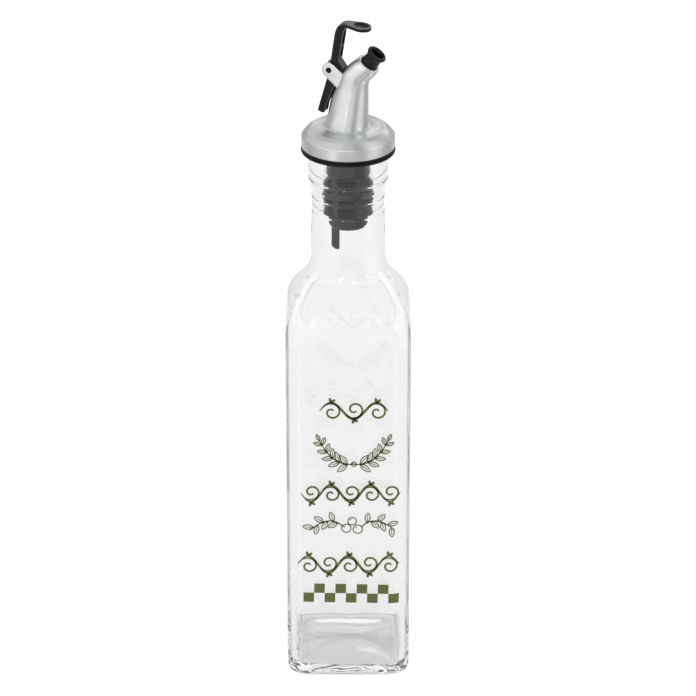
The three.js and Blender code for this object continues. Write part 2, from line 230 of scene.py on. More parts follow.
@dataclass(frozen=True)
class PatternedFinish(Finish):
    """A finish whose colour, gloss and relief each follow a pattern."""

    name: str = ""
    colour: str = "#000000"
    shade: str = "#000000"
    smoothest: float = 0.2
    roughest: float = 0.38
    full_wear: float = 1.0
    relief_mm: float = 0.01
    relief_strength: float = 0.5

    def patterned(self, tree: Tree, tone: Socket, wear: Socket, relief: Socket) -> dict[str, object]:
        """Blend the two colours, spread the gloss and raise the surface.

        Args:
            tree: The material's nodes.
            tone: Share of the shade in the colour.
            wear: What the roughness follows, from 0 to full wear.
            relief: What the height of the surface follows, from 0 to 1.

        Returns:
            What goes into the shader's colour, roughness and normal.
        """
        colour = add_node(
            tree,
            "ShaderNodeMix",
            {0: tone, 6: linear(self.colour), 7: linear(self.shade)},
            data_type="RGBA",
        )
        gloss = add_node(
            tree,
            "ShaderNodeMapRange",
            {"Value": wear, "From Max": self.full_wear, "To Min": self.smoothest, "To Max": self.roughest},
        )
        bump = add_node(
            tree,
            "ShaderNodeBump",
            {"Height": relief, "Strength": self.relief_strength, "Distance": self.relief_mm * MM},
        )
        return {
            "Base Color": colour.outputs[2],
            "Roughness": gloss.outputs[0],
            "Normal": bump.outputs["Normal"],
        }


@dataclass(frozen=True)
class ScreenEnamel(PatternedFinish):
    """Fired glass enamel, screen printed: flat olive, a little uneven where the mesh laid it down."""

    name: str = "screen_enamel_olive"
    colour: str = "#6b7143"
    shade: str = "#5b6138"
    smoothest: float = 0.38
    roughest: float = 0.6
    mottle_mm: float = 0.9
    glare: float = 0.2

    def surface(self, tree: Tree, place: Socket) -> dict[str, object]:
        """Add the mottle of the print.

        Args:
            tree: The material's nodes.
            place: Object coordinates in metres.

        Returns:
            What goes into the shader, by the name of its input.
        """
        mottle = add_node(
            tree, "ShaderNodeTexNoise", {"Vector": place, "Scale": per_metre(self.mottle_mm), "Detail": 3.0}
        ).outputs["Fac"]
        return {**self.patterned(tree, mottle, mottle, mottle), "Specular IOR Level": self.glare}


@dataclass(frozen=True)
class SatinSteel(PatternedFinish):
    """Stainless steel, satin brushed: fine scratches draw each highlight out across the brushing."""

    name: str = "stainless_steel_satin"
    colour: str = "#eff1f1"
    shade: str = "#dadcdc"
    smoothest: float = 0.24
    roughest: float = 0.42
    full_wear: float = 0.5
    relief_mm: float = 0.008
    relief_strength: float = 0.6
    # Real scratches are a few hundredths of a millimetre wide, and these are as coarse as they need to show.
    scratch_mm: float = 0.22
    drift_mm: float = 9.0
    anisotropy: float = 0.65
    brushing_turn: float = 0.25

    def surface(self, tree: Tree, place: Socket) -> dict[str, object]:
        """Add the scratches, round the axis or up the spout, and the drift of the wear.

        Args:
            tree: The material's nodes.
            place: Object coordinates in metres.

        Returns:
            What goes into the shader, by the name of its input.
        """
        parts = add_node(tree, "ShaderNodeSeparateXYZ", {0: place}).outputs
        flat = add_node(tree, "ShaderNodeCombineXYZ", {0: parts[0], 1: parts[1]})
        radius = add_node(tree, "ShaderNodeVectorMath", {0: flat.outputs[0]}, operation="LENGTH")
        run = add_node(tree, "ShaderNodeCombineXYZ", {0: radius.outputs["Value"], 1: parts[2]}).outputs[0]
        scratches = add_node(
            tree, "ShaderNodeTexNoise", {"Vector": run, "Scale": per_metre(self.scratch_mm), "Detail": 4.0}
        ).outputs["Fac"]
        drift = add_node(
            tree, "ShaderNodeTexNoise", {"Vector": place, "Scale": per_metre(self.drift_mm), "Detail": 2.0}
        ).outputs["Fac"]
        worn = add_node(tree, "ShaderNodeMath", {0: scratches, 1: drift}, operation="MULTIPLY").outputs[0]
        return {
            **self.patterned(tree, scratches, worn, scratches),
            "Metallic": 1.0,
            "Anisotropic": self.anisotropy,
            "Anisotropic Rotation": self.brushing_turn,
        }


@dataclass(frozen=True)
class MouldedPlastic(PatternedFinish):
    """Injection moulded plastic: one dark colour through, with a faint orange peel and drifting gloss."""

    name: str = "polypropylene_black_moulded"
    colour: str = "#0e0e0f"
    shade: str = "#161617"
    grain_mm: float = 0.5
    drift_mm: float = 5.0
    glare: float = 0.24

    def surface(self, tree: Tree, place: Socket) -> dict[str, object]:
        """Add the grain of the mould and the drift of the gloss.

        Args:
            tree: The material's nodes.
            place: Object coordinates in metres.

        Returns:
            What goes into the shader, by the name of its input.
        """
        grain, drift = [
            add_node(
                tree, "ShaderNodeTexNoise", {"Vector": place, "Scale": per_metre(size), "Detail": detail}
            ).outputs["Fac"]
            for size, detail in ((self.grain_mm, 3.0), (self.drift_mm, 2.0))
        ]
        return {**self.patterned(tree, drift, drift, grain), "Specular IOR Level": self.glare}


GLASS = ContainerGlass()
OLIVE = ScreenEnamel()
OLIVE_EDGE = ScreenEnamel(name="screen_enamel_olive_edge", colour="#4c5230", shade="#3f4527")
STEEL = SatinSteel()
BLACK = MouldedPlastic()
# Paler black for the lever's rounded edges and up-facing faces: a painted highlight. Its higher glare is real
# gloss.
BLACK_PAINTED_HIGHLIGHT = MouldedPlastic(
    name="polypropylene_black_painted_highlight",
    colour="#3e3e3f",
    shade="#4a4a4b",
    roughest=0.28,
    relief_mm=0.003,
    glare=0.9,
)
NOZZLE_BLACK = MouldedPlastic(
    name="polyethylene_black_soft", colour="#0e1110", shade="#151918", roughest=0.34
)
SOFT_SEAL = MouldedPlastic(
    name="thermoplastic_elastomer_dark", colour="#0e0d11", shade="#151418", roughest=0.36, glare=0.04
)
GASKET_BLACK = MouldedPlastic(
    name="thermoplastic_elastomer_black", colour="#0b0b0c", shade="#131314", smoothest=0.34, roughest=0.5
)
INSERT_GREY = MouldedPlastic(
    name="polypropylene_dark_grey",
    colour="#121115",
    shade="#19181c",
    smoothest=0.3,
    roughest=0.45,
    glare=0.04,
)


def cleaned(bm: Mesh) -> Mesh:
    """Merge a mesh's doubled vertices and turn its faces outwards.

    Args:
        bm: The mesh, which is changed.

    Returns:
        The same mesh.
    """
    bmesh.ops.remove_doubles(bm, verts=bm.verts, dist=MERGE)
    bmesh.ops.recalc_face_normals(bm, faces=bm.faces)
    return bm


def rounded(corners: Outline, steps: int = 4, closed: bool = False) -> list[tuple[float, float]]:
    """Round the corners of an outline.

    Args:
        corners: (across, up) or (across, up, radius) for each corner.
        steps: Segments in each round.
        closed: Whether the last corner runs on to the first.

    Returns:
        The points of the rounded outline.
    """
    points: list[tuple[float, float]] = []
    for index, corner in enumerate(corners):
        here = Vector(corner[:2])
        at_end = not closed and index in (0, len(corners) - 1)
        if at_end or len(corner) < 3:
            points.append(tuple(here))
            continue
        back = Vector(corners[index - 1][:2]) - here
        ahead = Vector(corners[(index + 1) % len(corners)][:2]) - here
        half = back.angle(ahead) / 2
        setback = min(corner[2] / math.tan(half), 0.49 * back.length, 0.49 * ahead.length)
        radius = setback * math.tan(half)
        back.normalize()
        ahead.normalize()
        centre = here + (back + ahead).normalized() * (radius / math.sin(half))
        start = (here + back * setback - centre).normalized()
        end = (here + ahead * setback - centre).normalized()
        for step in range(steps + 1):
            points.append(tuple(centre + start.slerp(end, step / steps) * radius))
    return points


def revolved(profile: Outline, steps: int, closed: bool = False) -> Mesh:
    """Spin a profile of (radius, height) points about the upright axis.

    Args:
        profile: Points of the profile.
        steps: Segments in the full turn.
        closed: Whether the profile is a ring that doesn't touch the axis.

    Returns:
        The closed mesh.
    """
    bm = bmesh.new()
    verts = [bm.verts.new((radius, 0, height)) for radius, height in profile]
    edges = [bm.edges.new(pair) for pair in zip(verts, verts[1:])]
    if closed:
        edges.append(bm.edges.new((verts[-1], verts[0])))
    bmesh.ops.spin(
        bm, geom=[*verts, *edges], cent=(0, 0, 0), axis=(0, 0, 1), angle=math.tau, steps=steps, use_merge=True
    )
    return cleaned(bm)


def wrapped(rings: int, segments: int, place: Callable[[int, float], Vector]) -> Mesh:
    """Wrap a grid round into a skin whose rings are placed one by one.

    Args:
        rings: Number of rings.
        segments: Faces round each ring.
        place: Gives the point of a ring, by its number, at an angle.

    Returns:
        The skin, closed where its first and last rings are points.
    """
    bm = bmesh.new()
    bmesh.ops.create_grid(bm, x_segments=segments, y_segments=rings - 1, size=1)
    for vert in bm.verts:
        ring = round((vert.co.y + 1) / 2 * (rings - 1))
        vert.co = place(ring, (vert.co.x + 1) * math.pi)
    return cleaned(bm)


def plate(outline: Outline, low: float, high: float, edge: float = 0.0, edge_finish: int = 0) -> Mesh:
    """Give an outline in the pourer's plane a thickness across it.

    Args:
        outline: (along, up) points.
        low: Where the plate starts across the pourer.
        high: Where it ends.
        edge: Size of the round on its edges.
        edge_finish: Number of the finish that the round gets.

    Returns:
        The closed plate.
    """
    bm = bmesh.new()
    face = bm.faces.new([bm.verts.new((along, low, up)) for along, up in outline])
    made = bmesh.ops.extrude_face_region(bm, geom=[face])["geom"]
    moved = [item for item in made if isinstance(item, bmesh.types.BMVert)]
    bmesh.ops.translate(bm, verts=moved, vec=(0, high - low, 0))
    bmesh.ops.recalc_face_normals(bm, faces=bm.faces)
    if edge:
        rims = [e for e in bm.edges if abs(e.verts[0].co.y - e.verts[1].co.y) < MERGE]
        rounds = bmesh.ops.bevel(
            bm,
            geom=rims,
            offset=edge,
            offset_type="OFFSET",
            segments=3,
            profile=0.5,
            affect="EDGES",
            material=-1,
            clamp_overlap=True,
        )["faces"]
        for face in rounds:
            face.material_index = edge_finish
    return bm


class Joining(Enum):
    """How one solid meets another."""

    ADD = "UNION"
    CUT = "DIFFERENCE"


def as_object(bm: Mesh, name: str) -> bpy.types.Object:
    """Turn a bmesh into an object of the scene, and free it.

    Args:
        bm: Mesh that is used up.
        name: Name of the object and its mesh.

    Returns:
        The new object.
    """
    mesh = bpy.data.meshes.new(name)
    bm.to_mesh(mesh)
    bm.free()
    made = bpy.data.objects.new(name, mesh)
    bpy.context.scene.collection.objects.link(made)
    return made


def combined(base: Mesh, other: Mesh, how: Joining) -> Mesh:
    """Join a closed mesh to another, or cut it out.

    Args:
        base: Mesh that stays.
        other: Mesh that is added or cut away.
        how: Whether it is added or cut.

    Returns:
        The new closed mesh.
    """
    kept = as_object(base, "kept")
    tool = as_object(other, "tool")
    for solid in (kept, tool):
        for _ in range(2):
            solid.data.materials.append(None)
    step = kept.modifiers.new("join", "BOOLEAN")
    step.operation = how.value
    step.object = tool
    step.solver = "EXACT"
    result = kept.evaluated_get(bpy.context.evaluated_depsgraph_get())
    bm = bmesh.new()
    bm.from_mesh(result.to_mesh())
    result.to_mesh_clear()
    for spent in (kept, tool):
        mesh = spent.data
        bpy.data.objects.remove(spent)
        bpy.data.meshes.remove(mesh)
    bmesh.ops.remove_doubles(bm, verts=bm.verts, dist=MERGE)
    return bm


def finished(
    name: str,
    bm: Mesh,
    finishes: Sequence[Finish],
    body: str,
    node: str | None = None,
    place: Matrix | None = None,
) -> bpy.types.Object:
    """Turn a mesh in millimetres into a dressed piece that rides on a body of the frame.

    Args:
        name: Name of the piece.
        bm: Its mesh, which is used up.
        finishes: One finish for each material slot of the mesh.
        body: CAD body that it moves with.
        node: CAD node that it stands for.
        place: Where it stands, in millimetres.

    Returns:
        The piece.
    """
    bm.transform(Matrix.Scale(MM, 4) @ (place or Matrix.Identity(4)))
    piece = as_object(bm, name)
    piece.data.shade_smooth()
    piece.data.set_sharp_from_angle(angle=math.radians(SHARP_DEGREES))
    for finish in finishes:
        piece.data.materials.append(finish.material())
    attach(piece, body)
    if node:
        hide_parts(node)
    LOG.info("%s: %d faces on %s", name, len(piece.data.polygons), body)
    return piece


@dataclass(frozen=True)
class Section:
    """One level section of the bottle, a rounded square or a circle."""

    height: float
    half: float
    corner: float

    def reach(self, direction: float) -> float:
        """Give the distance from the axis to the section's edge in a direction.

        Args:
            direction: Angle about the axis, in radians.

        Returns:
            The distance.
        """
        corner = min(self.corner, self.half)
        quarter = math.pi / 2
        turn = abs(direction - quarter * round(direction / quarter))
        flat = self.half - corner
        if self.half * math.tan(turn) <= flat:
            return self.half / math.cos(turn)
        along = flat * (math.cos(turn) + math.sin(turn))
        return along + math.sqrt(max(along * along - 2 * flat * flat + corner * corner, 0.0))


@dataclass
class GlassBottle:
    """The square bottle with its round neck: outside and inside of one wall of glass."""

    half: float
    mouth_top: float
    corner: float = 7.8
    wall: float = 3.0
    heel: float = 3.0
    bearing_half: float = 17.5
    push_up: float = 2.2
    push_up_power: float = 2.4
    push_up_squareness: float = 0.74
    floor: float = 4.6
    floor_rise: float = 1.4
    floor_half: float = 17.5
    floor_squareness: float = 0.8
    floor_corner: float = 4.8
    floor_round: float = 2.6
    shoulder_start: float = 141.0
    shoulder_fullness: float = 18.0
    shoulder_cove: float = 14.0
    neck_start: float = 170.0
    neck_radius: float = 13.9
    bore_radius: float = 9.5
    mouth_bore: float = 10.8
    straight_neck: float = 6.0
    inside_drop: float = 1.5
    settling: float = 0.1
    settling_low: float = 0.3
    settling_reach: float = 18.0
    settling_fade: float = 25.0
    settling_wave: float = 9.0
    settling_seed: int = 7
    side_steps: int = 24
    shoulder_steps: int = 44
    inner_shoulder_steps: int = 36
    segments: int = 224
    crowding: float = 0.6

    @classmethod
    def from_frame(cls) -> GlassBottle:
        """Take the bottle's width and height from its CAD node."""
        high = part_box("bottle")[1]
        return cls(half=high.x / MM, mouth_top=high.z / MM)

    def underside(self) -> list[Section]:
        """Give the sections of the push-up, from its middle to the bearing band.

        Returns:
            The sections, outwards.
        """
        sections = []
        for half in (*range(0, 16, 2), 15.5, 16.7, self.bearing_half):
            share = half / self.bearing_half
            rise = self.push_up * (1 - share**self.push_up_power)
            sections.append(Section(rise, half, half * (1 - self.push_up_squareness * share**3)))
        return sections

    def heel_round(self, steps: int = 10) -> list[Section]:
        """Give the sections of the round from the foot up to the side.

        Args:
            steps: Number of sections after the first.

        Returns:
            The sections, upwards.
        """
        sections = []
        for step in range(steps + 1):
            angle = math.pi / 2 * step / steps
            pull = self.heel * (1 - math.sin(angle))
            rise = self.heel * (1 - math.cos(angle))
            sections.append(Section(rise, self.half - pull, self.corner - pull))
        return sections

    def shoulder(self, half: float, corner: float, radius: float, drop: float, steps: int) -> list[Section]:
        """Give the sections that turn from the square body to the round neck.

        Args:
            half: Half width of the body there.
            corner: Radius of its corners.
            radius: Radius of the neck there.
            drop: How much lower the whole run lies.
            steps: Number of sections after the first.

        Returns:
            The sections, upwards.
        """
        start, end = self.shoulder_start - drop, self.neck_start - drop
        line = interpolate_bezier(
            Vector((half, start)),
            Vector((half, start + self.shoulder_fullness)),
            Vector((radius, end - self.shoulder_cove)),
            Vector((radius, end)),
            steps + 1,
        )
        sections = []
        for step, point in enumerate(line):
            share = step / steps
            sections.append(Section(point[1], point[0], corner + (point[0] - corner) * share))
        return sections

    def neck(self) -> list[Section]:
        """Give the round sections of the neck, with its beads and the band at the mouth.

        Returns:
            The sections, upwards.
        """
        top = self.mouth_top
        profile = rounded(
            [
                (self.neck_radius, self.neck_start + self.straight_neck), (13.6, top - 23.4, 2.0),
                (13.4, top - 22.9, 0.1), (13.4, top - 18.1, 0.6), (13.7, top - 17.5, 0.14),
                (13.45, top - 17.1, 0.1), (13.65, top - 15.2, 0.8), (14.3, top - 12.4, 0.8),
                (14.35, top - 11.3, 0.5), (14.8, top - 10.6, 0.16), (14.45, top - 10.1, 0.12),
                (14.8, top - 9.3, 0.4), (14.8, top - 0.9, 0.9), (13.6, top - 0.03),
            ],
            steps=5,
        )
        return [Section(height, radius, radius) for radius, height in profile]

    def sides(self, low: Section, high: Section, steps: int) -> list[Section]:
        """Give even sections between two, without either of them.

        Args:
            low: Section below them.
            high: Section above them.
            steps: Number of gaps from one to the other.

        Returns:
            The sections, upwards.
        """
        made = []
        for step in range(1, steps):
            share = step / steps
            made.append(
                Section(
                    low.height + (high.height - low.height) * share,
                    low.half + (high.half - low.half) * share,
                    low.corner + (high.corner - low.corner) * share,
                )
            )
        return made

    def outside(self) -> list[Section]:
        """Give the outer sections, from under the foot to the mouth.

        Returns:
            The sections, upwards.
        """
        heel = self.heel_round()
        shoulder = self.shoulder(self.half, self.corner, self.neck_radius, 0.0, self.shoulder_steps)
        body = self.sides(heel[-1], shoulder[0], self.side_steps)
        return [*self.underside(), *heel, *body, *shoulder, *self.neck()]

    def inside(self) -> list[Section]:
        """Give the inner sections, from the middle of the floor to the mouth.

        Returns:
            The sections, upwards.
        """
        half = self.half - self.wall
        sections = []
        for place in (0.0, 2.5, 5.0, 7.5, 10.0, 12.5, 15.0, 16.5):
            share = place / self.floor_half
            rise = self.floor_rise * (1 - share**2)
            sections.append(Section(self.floor + rise, place, place * (1 - self.floor_squareness * share**3)))
        corner = rounded(
            [
                (self.floor_half - 0.5, self.floor + 0.05),
                (half - 0.4, self.floor - 0.1, self.floor_round), (half, self.floor + 6.0),
            ],
            steps=10,
        )
        for reach, height in corner[1:]:
            sections.append(Section(height, reach, self.floor_corner - (half - reach) * 0.55))
        shoulder = self.shoulder(
            half, self.floor_corner, self.bore_radius, self.inside_drop, self.inner_shoulder_steps
        )
        bore = rounded(
            [
                (self.bore_radius, self.mouth_top - 8.0),
                (self.bore_radius, self.mouth_top - 1.0, 1.0),
                (self.mouth_bore, self.mouth_top - 0.03),
            ]
        )
        walls = self.sides(sections[-1], shoulder[0], self.side_steps)
        tube = Section(self.neck_start + self.straight_neck, self.bore_radius, self.bore_radius)
        return [*sections, *walls, *shoulder, tube, *(Section(z, r, r) for r, z in bore)]

    def settled(self, point: Vector) -> Vector:
        """Move a point of the inner wall as cooling glass does, most of all low down.

        Args:
            point: The point as it is drawn.

        Returns:
            The point where it settles.
        """
        low = max(0.0, 1 - point.z / self.settling_reach)
        amount = self.settling + self.settling_low * low
        if point.z > self.shoulder_start:
            amount *= max(0.0, 1 - (point.z - self.shoulder_start) / self.settling_fade)
        return point + noise.noise_vector(point / self.settling_wave) * amount

    def skin(self) -> Mesh:
        """Wrap the whole wall, outside and inside, in one closed skin.

        Returns:
            The closed mesh.
        """
        noise.seed_set(self.settling_seed)
        outside = self.outside()
        sections = [*outside, *reversed(self.inside())]

        def place(ring: int, angle: float) -> Vector:
            """Give a point of one ring, with the points crowded on the corners.

            Args:
                ring: Number of the section, up the outside and down the inside.
                angle: Share of the way round, as an angle.

            Returns:
                The point.
            """
            direction = angle + self.crowding / 4 * math.sin(4 * angle)
            section = sections[ring]
            reach = section.reach(direction)
            point = Vector((reach * math.cos(direction), reach * math.sin(direction), section.height))
            return point if ring < len(outside) else self.settled(point)

        return wrapped(len(sections), self.segments, place)

    def front(self, across: float) -> float:
        """Give how far out the printed front lies, by the place across it.

        Args:
            across: Distance from the middle of the front.

        Returns:
            The front's place along Y.
        """
        over = abs(across) - (self.half - self.corner)
        if over <= 0:
            return -self.half
        return -(self.half - self.corner + math.sqrt(self.corner**2 - over**2))

    def build(self) -> None:
        """Build and dress the bottle."""
        finished("bottle_glass", self.skin(), [GLASS], "cruet", node="bottle")


@dataclass(frozen=True)
class Stroke:
    """A pen stroke of the print: a line whose width swells and tapers."""

    points: Sequence[Vector]
    width: float
    tips: tuple[float, float] = (0.3, 0.3)
    fullness: float = 0.6

    def width_at(self, share: float) -> float:
        """Give the stroke's width at a share of its length.

        Args:
            share: Share of the length, from 0 to 1.

        Returns:
            The width.
        """
        tip = self.tips[0] if share < 0.5 else self.tips[1]
        swell = math.sin(math.pi * share) ** self.fullness
        return self.width * (tip + (1 - tip) * swell)

    def draw(self, bm: Mesh) -> None:
        """Draw the stroke into a flat mesh, as a strip of faces along the line.

        Args:
            bm: Mesh that gets the strip.
        """
        last = len(self.points) - 1
        for vert in bmesh.ops.create_grid(bm, x_segments=last, y_segments=1, size=1)["verts"]:
            index = round((vert.co.x + 1) / 2 * last)
            run = self.points[min(index + 1, last)] - self.points[max(index - 1, 0)]
            side = Vector((-run.y, run.x)).normalized() * (self.width_at(index / last) / 2 * vert.co.y)
            spot = self.points[index] + side
            vert.co = (spot.x, 0, spot.y)


def spiral(centre: Vector, start: float, radius: float, turn: float, steps: int = 22) -> list[Vector]:
    """Give a spiral that winds in to its centre.

    Args:
        centre: Middle of the spiral.
        start: Angle of its outer end.
        radius: Its radius there.
        turn: How far it turns, with its sign.
        steps: Number of points.

    Returns:
        Points from the outer end inwards.
    """
    points = []
    for step in range(steps + 1):
        share = step / steps
        reach = radius * (1 - 0.8 * share)
        angle = start + turn * share
        points.append(centre + Vector((math.cos(angle), math.sin(angle))) * reach)
    return points


def leaf(base: Vector, angle: float, length: float, width: float, line: float = 0.46) -> list[Stroke]:
    """Give the strokes of one drawn leaf: two edges and a midrib.

    Args:
        base: Where the leaf leaves its stem.
        angle: Direction in which it points.
        length: From base to tip.
        width: Greatest width.
        line: Width of the pen.

    Returns:
        The leaf's strokes.
    """
    along = Vector((math.cos(angle), math.sin(angle)))
    side = Vector((-along.y, along.x))
    tip = base + along * length
    strokes = []
    for sign in (-1, 1):
        out = side * (sign * width * 0.66)
        line_points = interpolate_bezier(
            base, base + along * length * 0.3 + out, tip - along * length * 0.35 + out, tip, 16
        )
        strokes.append(Stroke(line_points, line, (0.7, 0.7)))
    rib = [base + along * (length * share) for share in (0.0, 0.2, 0.4, 0.6, 0.8)]
    strokes.append(Stroke(rib, line * 0.8, (0.8, 0.4)))
    return strokes


def berry(centre: Vector, radius: float, line: float = 0.46) -> list[Stroke]:
    """Give the strokes of one drawn berry: a ring and a small glint.

    Args:
        centre: Middle of the berry.
        radius: Radius of its ring.
        line: Width of the pen.

    Returns:
        The berry's strokes.
    """
    ring = [
        centre + Vector((math.cos(math.tau * step / 24), math.sin(math.tau * step / 24))) * radius
        for step in range(25)
    ]
    glint = [
        centre + Vector((math.cos(math.radians(a)), math.sin(math.radians(a)))) * (radius * 0.55)
        for a in range(100, 175, 15)
    ]
    return [Stroke(ring, line, (1.0, 1.0)), Stroke(glint, line * 0.9)]


@dataclass
class RunningScroll:
    """A running vine scroll, the traditional border: a waved stem with a tendril wound into each bend."""

    middle: Vector
    width: float
    height: float
    bends: int
    pen: float = 1.05
    flip: bool = False
    wave: float = 0.36
    curl_turns: float = 1.3
    curl_pen: float = 0.76
    bud_length: float = 2.1
    bud_width: float = 1.15
    bud_degrees: tuple[float, float] = (40, 105)

    def on_stem(self, share: float) -> Vector:
        """Give the point of the waved stem at a share of its length."""
        rise = self.wave * self.height * math.sin(math.pi * self.bends * share)
        return self.middle + Vector(((share - 0.5) * self.width, -rise if self.flip else rise))

    def strokes(self) -> list[Stroke]:
        """Give all the strokes of the scroll.

        Returns:
            The strokes.
        """
        steps = 20 * self.bends
        made = [Stroke([self.on_stem(step / steps) for step in range(steps + 1)], self.pen, (0.35, 0.35))]
        for bend in range(self.bends):
            up = 1 if (bend % 2 == 0) != self.flip else -1
            root = self.on_stem((bend + 0.15) / self.bends)
            centre = self.middle + Vector(
                ((bend + 0.53) * self.width / self.bends - self.width / 2, -up * 0.06 * self.height)
            )
            arm = root - centre
            curl = spiral(centre, math.atan2(arm.y, arm.x), arm.length, -up * math.tau * self.curl_turns, 40)
            made.append(Stroke(curl, self.pen * self.curl_pen, (0.5, 0.8)))
            crest = self.on_stem((bend + 0.5) / self.bends)
            for turn in self.bud_degrees:
                way = Vector((math.cos(math.radians(turn)), up * math.sin(math.radians(turn))))
                bud = [crest + way * (self.bud_length * step / 8) for step in range(9)]
                made.append(Stroke(bud, self.bud_width, (0.25, 0.05)))
        return made


@dataclass
class LaurelSpray:
    """Two drawn twigs that bow outwards from a tie at the middle."""

    middle: Vector
    width: float
    height: float
    pen: float = 0.6
    leaf_length: float = 5.2
    leaf_taper: float = 0.09
    leaf_slimness: float = 0.4
    leaf_turn: float = 0.8

    def strokes(self) -> list[Stroke]:
        """Give all the strokes of the spray.

        Returns:
            The strokes.
        """
        made: list[Stroke] = []
        foot = self.middle + Vector((0, -0.36 * self.height))
        for side in (-1, 1):
            tip = self.middle + Vector((side * 0.47 * self.width, 0.30 * self.height))
            lean = foot + Vector((side * 0.22 * self.width, -0.06 * self.height))
            arrive = tip + Vector((-side * 0.10 * self.width, -0.42 * self.height))
            twig = interpolate_bezier(foot, lean, arrive, tip, 22)
            made.append(Stroke(twig, self.pen, (0.8, 0.4)))
            for index in range(3, 21, 4):
                run = twig[index + 1] - twig[index - 1]
                ahead = math.atan2(run.y, run.x)
                size = self.leaf_length - self.leaf_taper * index
                for turn in (-self.leaf_turn, self.leaf_turn):
                    made.extend(leaf(twig[index], ahead + turn, size, size * self.leaf_slimness))
            run = twig[-1] - twig[-2]
            made.extend(leaf(tip, math.atan2(run.y, run.x), 3.2, 1.2))
        made.extend(berry(foot, 0.9))
        return made


@dataclass
class BerryGarland:
    """A drawn garland: berries in the middle and a slim leafy twig to each side."""

    middle: Vector
    width: float
    height: float
    pen: float = 0.6
    berries: Outline = ((-2.3, -0.6, 1.75), (2.0, -1.0, 1.75), (-0.1, 2.4, 1.6))
    leaf_length: float = 4.2
    leaf_width: float = 1.9

    def strokes(self) -> list[Stroke]:
        """Give all the strokes of the garland.

        Returns:
            The strokes.
        """
        made: list[Stroke] = []
        for across, up, radius in self.berries:
            made.extend(berry(self.middle + Vector((across, up)), radius))
        for side in (-1, 1):
            start = self.middle + Vector((side * 3.4, 0.0))
            tip = self.middle + Vector((side * 0.49 * self.width, -0.12 * self.height))
            lean = start + Vector((side * 4.0, 0.32 * self.height))
            arrive = tip + Vector((-side * 4.0, 0.30 * self.height))
            twig = interpolate_bezier(start, lean, arrive, tip, 18)
            made.append(Stroke(twig, self.pen, (0.9, 0.4)))
            for index, turn in ((3, 1.0), (5, -1.0), (8, 0.9), (10, -0.9), (13, 0.8), (15, -0.8)):
                run = twig[index + 1] - twig[index - 1]
                ahead = math.atan2(run.y, run.x)
                made.extend(leaf(twig[index], ahead + turn, self.leaf_length, self.leaf_width))
        return made


@dataclass
class FrontPrint:
    """The enamel print on the front: a check band below three scrolls and two drawn garlands."""

    bottle: GlassBottle
    sunk: float = 0.03
    proud: float = 0.07
    square: Vector = Vector((4.05, 4.0))
    columns: int = 9
    band_middle: Vector = Vector((1.17, 37.1))
    slope_degrees: float = -1.1
    rim: float = 0.24

    def laid(self, bm: Mesh) -> Mesh:
        """Give a flat print its thickness and lay it on the front of the glass.

        Args:
            bm: The print, drawn flat, which is changed.

        Returns:
            The same mesh.
        """
        bmesh.ops.recalc_face_normals(bm, faces=bm.faces)
        made = bmesh.ops.extrude_face_region(bm, geom=list(bm.faces))["geom"]
        moved = [item for item in made if isinstance(item, bmesh.types.BMVert)]
        bmesh.ops.translate(bm, verts=moved, vec=(0, -(self.sunk + self.proud), 0))
        for vert in bm.verts:
            vert.co.y += self.bottle.front(vert.co.x) + self.sunk
        bmesh.ops.recalc_face_normals(bm, faces=bm.faces)
        return bm

    def band(self) -> Mesh:
        """Make the two staggered rows of squares.

        Returns:
            The band on the glass, with its darker edges in the second slot.
        """
        bm = bmesh.new()
        tilt = Matrix.Rotation(math.radians(-self.slope_degrees), 4, "Y")
        for column in range(self.columns):
            row = column % 2
            across = (column - (self.columns - 1) / 2) * self.square.x
            up = (row - 0.5) * self.square.y
            stand = (
                Matrix.Translation((self.band_middle.x, 0, self.band_middle.y))
                @ tilt
                @ Matrix.Translation((across, 0, up))
                @ Matrix.Rotation(math.pi / 2, 4, "X")
                @ Matrix.Diagonal((self.square.x / 2, self.square.y / 2, 1, 1))
            )
            made = bmesh.ops.create_grid(bm, x_segments=4, y_segments=4, size=1, matrix=stand)["verts"]
            faces = list({face for vert in made for face in vert.link_faces})
            ring = bmesh.ops.inset_region(bm, faces=faces, thickness=self.rim, use_even_offset=True)["faces"]
            for face in ring:
                face.material_index = 1
        return self.laid(bm)

    def drawn(self, strokes: Iterable[Stroke]) -> Mesh:
        """Draw strokes flat and lay them on the glass.

        Args:
            strokes: What is drawn.

        Returns:
            The drawing on the glass.
        """
        bm = bmesh.new()
        for stroke in strokes:
            stroke.draw(bm)
        return self.laid(bm)

    def build(self) -> None:
        """Build and dress every piece of the print."""
        art = {
            "print_scroll_top": RunningScroll(Vector((2.1, 114.6)), 25.5, 9.4, 3),
            "print_laurel_spray": LaurelSpray(Vector((2.1, 97.6)), 27.0, 14.6),
            "print_scroll_middle": RunningScroll(Vector((0.9, 80.0)), 37.4, 9.8, 5, flip=True),
            "print_berry_garland": BerryGarland(Vector((1.6, 65.8)), 33.0, 13.6),
            "print_scroll_bottom": RunningScroll(Vector((0.1, 49.6)), 38.4, 10.2, 5),
        }
        for name, motif in art.items():
            finished(name, self.drawn(motif.strokes()), [OLIVE], "cruet")
        finished("print_check_band", self.band(), [OLIVE, OLIVE_EDGE], "cruet")


